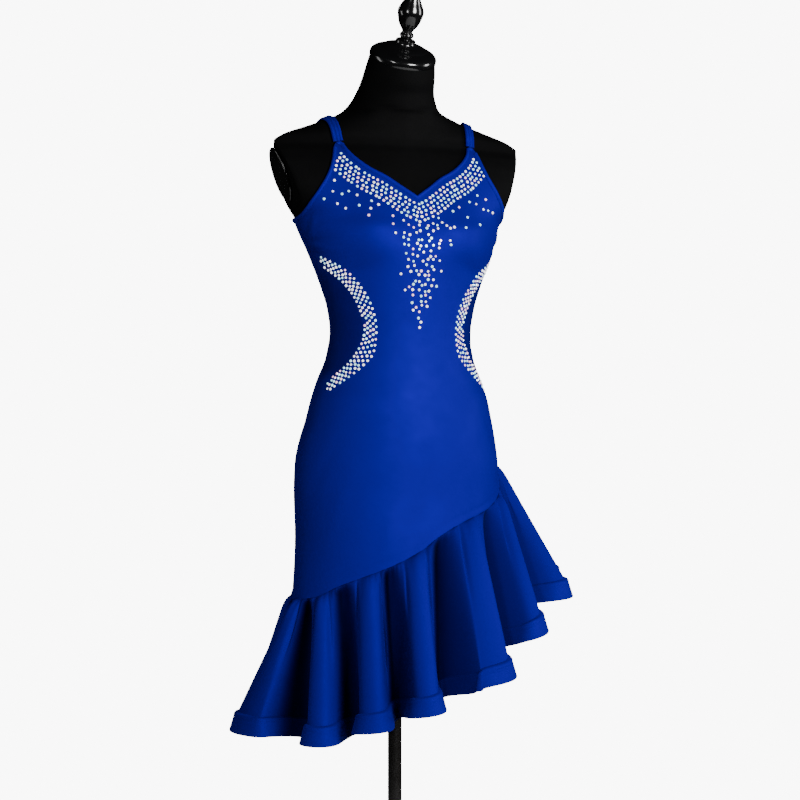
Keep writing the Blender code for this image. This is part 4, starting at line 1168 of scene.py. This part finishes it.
def crystal(name):
    """Foil-backed cut glass: each stone's own tint under clear facets, with a slight painted glow,
    an emission in that tint, in place of the sparkle that soft light doesn't give."""
    finish, tree, shader = shader_of(name)
    tint = attribute(tree, "tint", "Color")
    for socket in ("Base Color", "Emission Color"):
        tree.links.new(tint, shader.inputs[socket])
    # Emission_Strength: a painted glow, though the stones are no lamps
    put(shader, Emission_Strength=1.3, Roughness=0.12, Metallic=0.10, Specular_IOR_Level=0.9,
        IOR=1.6, Coat_Weight=0.8, Coat_Roughness=0.03)
    return finish


# ---------------------------------------------------------------- the pieces
SIDES = (("left", 1), ("right", -1))   # of the wearer
FLOUNCES = (("front", FRONT_FLOUNCE), ("back", (FRONT_FLOUNCE[1], FRONT_FLOUNCE[0] + FLUTES)))
# Levels of the form's grid: lowest and highest height of each run and how many it has.
FORM_LEVELS = ((FORM_BOTTOM, 1.15, 40), (1.15, 1.30, 40), (1.30, NECK_TOP[1], 90))
FORM_SPOKES, ARM_CAP_SPOKES = 160, 72


def settings():
    """The sizes, colours and lights that a user can change."""
    return bpy.context.scene.dance_dress


def finish_named(name):
    """A material made once, by its name."""
    made = bpy.data.materials.get(name)
    if made:
        return made
    look = settings()
    royal, trim, rough = tuple(look.satin_colour), tuple(look.lit_trim_colour), look.roughness
    makers = {
        "royal_satin": lambda: satin(name, royal, rough),
        # trim is the satin's colour with its painted highlight, a little lighter
        "trim_satin": lambda: satin(name, trim, rough + 0.04),
        "flounce_satin": lambda: satin(name, royal, rough + 0.05, shade=0.76, gloss=0.45),
        "braided_satin": lambda: satin(name, royal, rough + 0.08, shade=0.74, gloss=0.6,
                                       braided=True),
        "black_jersey": lambda: jersey(name),
        "black_gloss": lambda: enamel(name, (0.0020, 0.0020, 0.0023), roughness=0.17, coat=0.3),
        "black_enamel": lambda: enamel(name, (0.0045, 0.0040, 0.0038), roughness=0.24,
                                       metallic=0.3),
        "cut_crystal": lambda: crystal(name),
    }
    return makers[name]()


def settle(piece, slot, *nodes):
    """Puts a piece on the part's one body and hides the solids it is for; slot is not used."""
    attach(piece, "root")
    if nodes:
        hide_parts(*nodes)


def build_sheath():
    """Front and back of the sheath: thin walls on the skin with their creases."""
    for name, back, node in (("satin_front", False, "front_panel"),
                             ("satin_back", True, "back_panel")):
        angle, z = panel_grid(back)
        # painted shade on the sides behind the crescents, held in the shade attribute
        settle(put_wall(name, sheath_point(angle, z, -SATIN), sheath_point(angle, z),
                        finish_named("royal_satin"), painted_side_shade(angle, z)), "satin", node)


def build_trim():
    """Bindings of neck and armholes, each named as its solid but a trim."""
    for node, (edge, shift) in binding_runs().items():
        settle(put_tube(node.replace("binding", "trim"), binding_rings(edge, shift),
                        finish_named("trim_satin")), "binding", node)


def build_straps():
    """Left and right strap over the shoulders."""
    for side, sign in SIDES:
        settle(put_tube(f"ribbed_strap_{side}", strap_rings(sign), finish_named("trim_satin")),
               "binding", f"strap_{side}")


def build_flounce():
    """Front and back of the flounce: thin walls either side of its middle surface."""
    for name, span in FLOUNCES:
        u, drop = np.meshgrid(flounce_columns(span), FLOUNCE_DROPS)
        middle, normal = flounce(u, drop), flounce_normal(u, drop) * SATIN / 2
        # painted shade in the folds and a painted shadow line in the seam, held in the shade
        # attribute
        settle(put_wall(f"flounce_{name}_cloth", middle - normal, middle + normal,
                        finish_named("flounce_satin"), painted_fold_shade(u, drop)),
               "satin", f"flounce_{name}")


def build_hem():
    """Front and back of the stiff hem band: thicker walls that carry the folds' painted shade on.
    """
    for name, span in FLOUNCES:
        u = flounce_columns(span)
        middle = band_grid(u)
        normal = grid_normal(middle) * BAND_CLOTH / 2
        # tone is the folds' painted shade, carried down onto the band
        tone = np.broadcast_to(BAND_SHADE_SHARE * painted_fold_shade(u, 1.0), middle.shape[:2])
        settle(put_wall(f"hem_{name}_cloth", middle - normal, middle + normal,
                        finish_named("braided_satin"), tone), "hem_satin", f"hem_band_{name}")


def build_stones():
    """Garland, centre drop and side crescents, each kept clear of the ones before it."""
    size = settings().stone_size / 2
    draw = np.random.default_rng(STONE_SEED)
    small = size * CRESCENT_SIZE
    groups = (("stones_neckline", neck_places(draw), size, size * NECK_GAP),
              ("stones_centre", drop_places(draw), size, size * DROP_GAP),
              ("stones_left", crescent_places(1, draw), small, size * CRESCENT_GAP),
              ("stones_right", crescent_places(-1, draw), small, size * CRESCENT_GAP))
    taken = np.full((1, 3), np.inf)
    for name, places, radius, gap in groups:
        places = places[clear_of(on_sheath(places), taken, gap)]
        taken = np.concatenate([taken, on_sheath(places)])
        settle(put_stones(name, places, radius, gap, finish_named("cut_crystal"), draw), "crystal")


def declare_cloth():
    """Only defines a helper that finds a piece by name; no cloth size is stated."""
    def piece(name):
        return bpy.data.objects[name]


def build_form():
    """The form's covered body and the glossy plates on its arm ends."""
    heights = np.unique(np.concatenate([np.linspace(*run) for run in FORM_LEVELS]))
    angle = np.linspace(0, 360, FORM_SPOKES, endpoint=False)
    rings = skin(angle[None, :], heights[:, None], FORM_CUP, soft=FORM_ROUND)
    settle(put_tube("form_body", rings, finish_named("black_jersey"), FORM_CORNER),
           "form_cover", "torso")
    for side, sign in SIDES:
        settle(put_tube(f"arm_cap_{side}", arm_cap_rings(sign), finish_named("black_gloss")),
               "gloss_black", f"arm_plate_{side}")


def arm_cap_rings(side):
    """An oval plate with a rounded rim and a faintly domed face: each ring is a share of the
    oval, whose points are the cosine and sine of even turns, square to the sloping arm end and
    set out from it by the ring's own height."""
    slope = np.arctan(ARM_SLOPE)
    middle_y, middle_z = ARM_PLATE_MIDDLE
    out = np.array([side * np.cos(slope), 0, -np.sin(slope)])
    up = np.array([side * np.sin(slope), 0, np.cos(slope)])
    middle = np.array([side * arm_reach(middle_z), middle_y, middle_z])
    angle = np.linspace(0, 2 * np.pi, ARM_CAP_SPOKES, endpoint=False)
    oval = (np.cos(angle)[:, None] * up * ARM_PLATE[0]
            + np.sin(angle)[:, None] * np.array([0, side, 0]) * ARM_PLATE[1])
    rings = np.stack([middle + oval * share + out * height for share, height in ARM_CAP_SECTION])
    return rings[:, ::-1]


def along_neck(distance):
    """A point of the leaning neck's axis, a distance above its top."""
    lean = np.radians(NECK_LEAN)
    return (0.0, NECK_TOP[0] - distance * np.sin(lean), NECK_TOP[1] + distance * np.cos(lean))


def build_stand():
    """Neck cap, finial, socket, pole and base, all turned shapes."""
    gloss, metal = finish_named("black_gloss"), finish_named("black_enamel")
    foot = FORM_BOTTOM - SEAM_GAP - SOCKET[-1][1]
    tip = along_neck(FINIAL_START + 2 * SEAM_GAP)
    floor = (0, 0, 0)
    for node, profile, start, lean, finish, slot, cuts, bore in (
            ("neck_cap", CAP, along_neck(SEAM_GAP), NECK_LEAN, gloss, "gloss_black", 2, 0),
            ("finial", FINIAL, tip, NECK_LEAN, gloss, "gloss_black", 2, 0),
            ("socket", SOCKET, (0, 0, foot), 0, metal, "stand_metal", 1, SOCKET_BORE),
            ("pole", POLE, floor, 0, metal, "stand_metal", 0, 0),
            ("base", BASE, floor, 0, metal, "stand_metal", 2, 0)):
        settle(put_turned(f"{node}_turned", profile, start, lean, finish, cuts, bore), slot, node)


# ---------------------------------------------------------------- the stage
CAMERA_TURN = -22.0        # degrees from straight ahead, to the wearer's right
CAMERA_AWAY = 3.6
CAMERA_HEIGHT = 0.92
CAMERA_ASIDE = 0.0087
LENS, SENSOR = 98.18, 36.0 # millimetres
FLOOR_RADIUS, FLOOR_SIDES = 1.15, 96
BACKDROP = 9.0             # strength of the white behind the object
LAMP_TARGET = (0, 0, 0.95)
# Lamps: place to the camera's right, towards it and up, width and height, share of the key's
# power, whether glossy surfaces mirror it.
LAMPS = (("key", 1.75, 2.45, 1.6, 1.0, 0.8, 1.0, True),
         ("left", -2.8, 0.1, 1.3, 0.6, 1.6, 0.09, True),
         ("right", 3.0, 0.0, 1.5, 0.8, 1.4, 0.35, True),
         ("front", -1.4, 3.0, 1.6, 0.6, 0.9, 0.22, True),
         ("back", -0.6, -3.2, 1.8, 1.6, 1.2, 0.22, False))


def look_at(item, eye, target):
    """Points an object's -Z at the target."""
    ahead = unit(np.array(target, float) - np.array(eye, float))
    right = unit(np.cross(ahead, (0, 0, 1.0)))
    up = np.cross(right, ahead)
    item.matrix_world = Matrix(np.vstack([np.column_stack([right, up, -ahead, eye]),
                                          (0, 0, 0, 1)]).tolist())


def camera_frame():
    """The camera's own directions: to its right, towards it, and up."""
    turn = np.radians(CAMERA_TURN)
    right = np.array([np.cos(turn), np.sin(turn), 0])
    back = np.array([np.sin(turn), -np.cos(turn), 0])
    return right, back, np.array([0, 0, 1.0])


def add_lamps(key_power):
    """Area lamps placed in the camera's own directions from the pole's axis."""
    along, back, above = camera_frame()
    for name, right, away, up, width, height, share, mirrored in LAMPS:
        lamp = bpy.data.lights.new(name, "AREA")
        lamp.shape = "RECTANGLE"
        lamp.size, lamp.size_y = width, height
        lamp.energy = key_power * share
        item = bpy.data.objects.new(name, lamp)
        bpy.context.scene.collection.objects.link(item)
        look_at(item, along * right + back * away + above * up, LAMP_TARGET)
        item.visible_glossy = mirrored


def set_world(dim):
    """White where the camera sees it, dim for everything that it lights."""
    world = bpy.data.worlds.new("studio")
    bpy.context.scene.world = world
    world.use_nodes = True
    tree = world.node_tree
    tree.nodes.clear()
    out = tree.nodes.new("ShaderNodeOutputWorld")
    mix = tree.nodes.new("ShaderNodeMixShader")
    ray = tree.nodes.new("ShaderNodeLightPath")
    tree.links.new(ray.outputs["Is Camera Ray"], mix.inputs["Fac"])
    for socket, strength in ((1, dim), (2, BACKDROP)):
        white = tree.nodes.new("ShaderNodeBackground")
        white.inputs["Color"].default_value = (1, 1, 1, 1)
        white.inputs["Strength"].default_value = strength
        tree.links.new(white.outputs["Background"], mix.inputs[socket])
    tree.links.new(mix.outputs["Shader"], out.inputs["Surface"])


def build_stage():
    """A pale round floor, a white backdrop, the lamps and the camera."""
    look = settings()
    finish, tree, shader = shader_of("pale_floor")
    grain = noise(tree, coordinates(tree, "Object"), scale=3.0)
    tree.links.new(ramp(tree, grain, (0.80, 0.80, 0.80), (0.84, 0.84, 0.84)),
                   shader.inputs["Base Color"])
    put(shader, Roughness=0.9)
    angle = np.linspace(0, 2 * np.pi, FLOOR_SIDES, endpoint=False)
    rim = np.stack([np.cos(angle), np.sin(angle), 0 * angle], -1) * FLOOR_RADIUS
    here, middle = np.arange(FLOOR_SIDES), np.full(FLOOR_SIDES, FLOOR_SIDES)
    fan = np.stack([here, np.roll(here, -1), middle, middle], -1)
    floor = put_mesh("floor", np.concatenate([rim, [[0, 0, 0]]]), fan, finish)
    set_world(look.ambient)
    add_lamps(look.key_power)
    lens = bpy.data.cameras.new("camera")
    lens.lens, lens.sensor_width = LENS, SENSOR
    camera = bpy.data.objects.new("camera", lens)
    bpy.context.scene.collection.objects.link(camera)
    bpy.context.scene.camera = camera
    right, back, up = camera_frame()
    target = right * CAMERA_ASIDE + up * CAMERA_HEIGHT
    look_at(camera, target + back * CAMERA_AWAY, target)


# ---------------------------------------------------------------- the add-on
class DanceDressSettings(bpy.types.PropertyGroup):
    """Sizes, colours and lights that a user would change"""
    satin_colour: bpy.props.FloatVectorProperty(
        name="Satin colour", description="Colour of the dress and its hem", subtype="COLOR",
        size=3, min=0, max=1, default=(0.0060, 0.0010, 0.20))
    # the bindings' satin, drawn a little lighter than the dress's: a painted highlight for their
    # bright line
    lit_trim_colour: bpy.props.FloatVectorProperty(
        name="Trim colour", description="Colour of the bindings and straps", subtype="COLOR",
        size=3, min=0, max=1, default=(0.0070, 0.0012, 0.23))
    roughness: bpy.props.FloatProperty(
        name="Satin roughness", description="Lower is glossier", subtype="FACTOR", min=0.1,
        max=0.9, default=0.62)
    stone_size: bpy.props.FloatProperty(
        name="Rhinestone size", description="Width of the larger rhinestones",
        subtype="DISTANCE", unit="LENGTH", min=0.001, max=0.01, default=0.0043)
    key_power: bpy.props.FloatProperty(
        name="Key light", description="Power of the main lamp", subtype="POWER", unit="POWER",
        min=0, default=141.0)
    ambient: bpy.props.FloatProperty(
        name="Ambient light", description="Strength of the light from all round", min=0,
        default=0.006)


class BuildSheath(bpy.types.Operator):
    """Build the front and back of the satin sheath"""
    bl_idname = "dance_dress.sheath"
    bl_label = "Sheath"

    def execute(self, context):
        build_sheath()
        return {"FINISHED"}


class BuildTrim(bpy.types.Operator):
    """Build the bindings round the neck and armholes"""
    bl_idname = "dance_dress.trim"
    bl_label = "Bindings"

    def execute(self, context):
        build_trim()
        return {"FINISHED"}


class BuildStraps(bpy.types.Operator):
    """Build the ribbed shoulder straps"""
    bl_idname = "dance_dress.straps"
    bl_label = "Straps"

    def execute(self, context):
        build_straps()
        return {"FINISHED"}


class BuildFlounce(bpy.types.Operator):
    """Build the fluted flounce"""
    bl_idname = "dance_dress.flounce"
    bl_label = "Flounce"

    def execute(self, context):
        build_flounce()
        return {"FINISHED"}


class BuildHem(bpy.types.Operator):
    """Build the stepped hem band"""
    bl_idname = "dance_dress.hem"
    bl_label = "Hem band"

    def execute(self, context):
        build_hem()
        return {"FINISHED"}


class BuildStones(bpy.types.Operator):
    """Build the rhinestones"""
    bl_idname = "dance_dress.stones"
    bl_label = "Rhinestones"

    def execute(self, context):
        build_stones()
        return {"FINISHED"}


class DeclareCloth(bpy.types.Operator):
    """Run declare_cloth, which states no cloth sizes"""
    bl_idname = "dance_dress.cloth"
    bl_label = "Cloth sizes"

    def execute(self, context):
        declare_cloth()
        return {"FINISHED"}


class BuildForm(bpy.types.Operator):
    """Build the covered form and the plates on its arm ends"""
    bl_idname = "dance_dress.form"
    bl_label = "Dress form"

    def execute(self, context):
        build_form()
        return {"FINISHED"}


class BuildStand(bpy.types.Operator):
    """Build the neck cap, finial, pole and base"""
    bl_idname = "dance_dress.stand"
    bl_label = "Stand"

    def execute(self, context):
        build_stand()
        return {"FINISHED"}


class BuildStage(bpy.types.Operator):
    """Build the floor, lamps, world and camera"""
    bl_idname = "dance_dress.stage"
    bl_label = "Stage"

    def execute(self, context):
        build_stage()
        return {"FINISHED"}


OPERATORS = (BuildForm, BuildStand, BuildSheath, BuildTrim, BuildStraps, BuildFlounce, BuildHem,
             BuildStones, DeclareCloth, BuildStage)


class DanceDressPanel(bpy.types.Panel):
    """Lists the sizes, the colours and the builders"""
    bl_idname = "VIEW3D_PT_dance_dress"
    bl_label = "Dance dress"
    bl_space_type = "VIEW_3D"
    bl_region_type = "UI"
    bl_category = "Dress"

    def draw(self, context):
        look = context.scene.dance_dress
        for name in look.bl_rna.properties.keys():
            if name not in ("rna_type", "name"):
                self.layout.prop(look, name)
        for item in OPERATORS:
            self.layout.operator(item.bl_idname)


def register():
    """Makes the settings, the builders and the panel known."""
    for item in (DanceDressSettings, *OPERATORS, DanceDressPanel):
        bpy.utils.register_class(item)
    bpy.types.Scene.dance_dress = bpy.props.PointerProperty(type=DanceDressSettings)


def unregister():
    """Takes them away again, the settings last."""
    del bpy.types.Scene.dance_dress
    for item in (DanceDressPanel, *reversed(OPERATORS), DanceDressSettings):
        bpy.utils.unregister_class(item)


def main():
    """Builds every piece in order."""
    register()
    for item in OPERATORS:
        group, action = item.bl_idname.split(".")
        getattr(getattr(bpy.ops, group), action)()


if __name__ == "__main__":
    main()
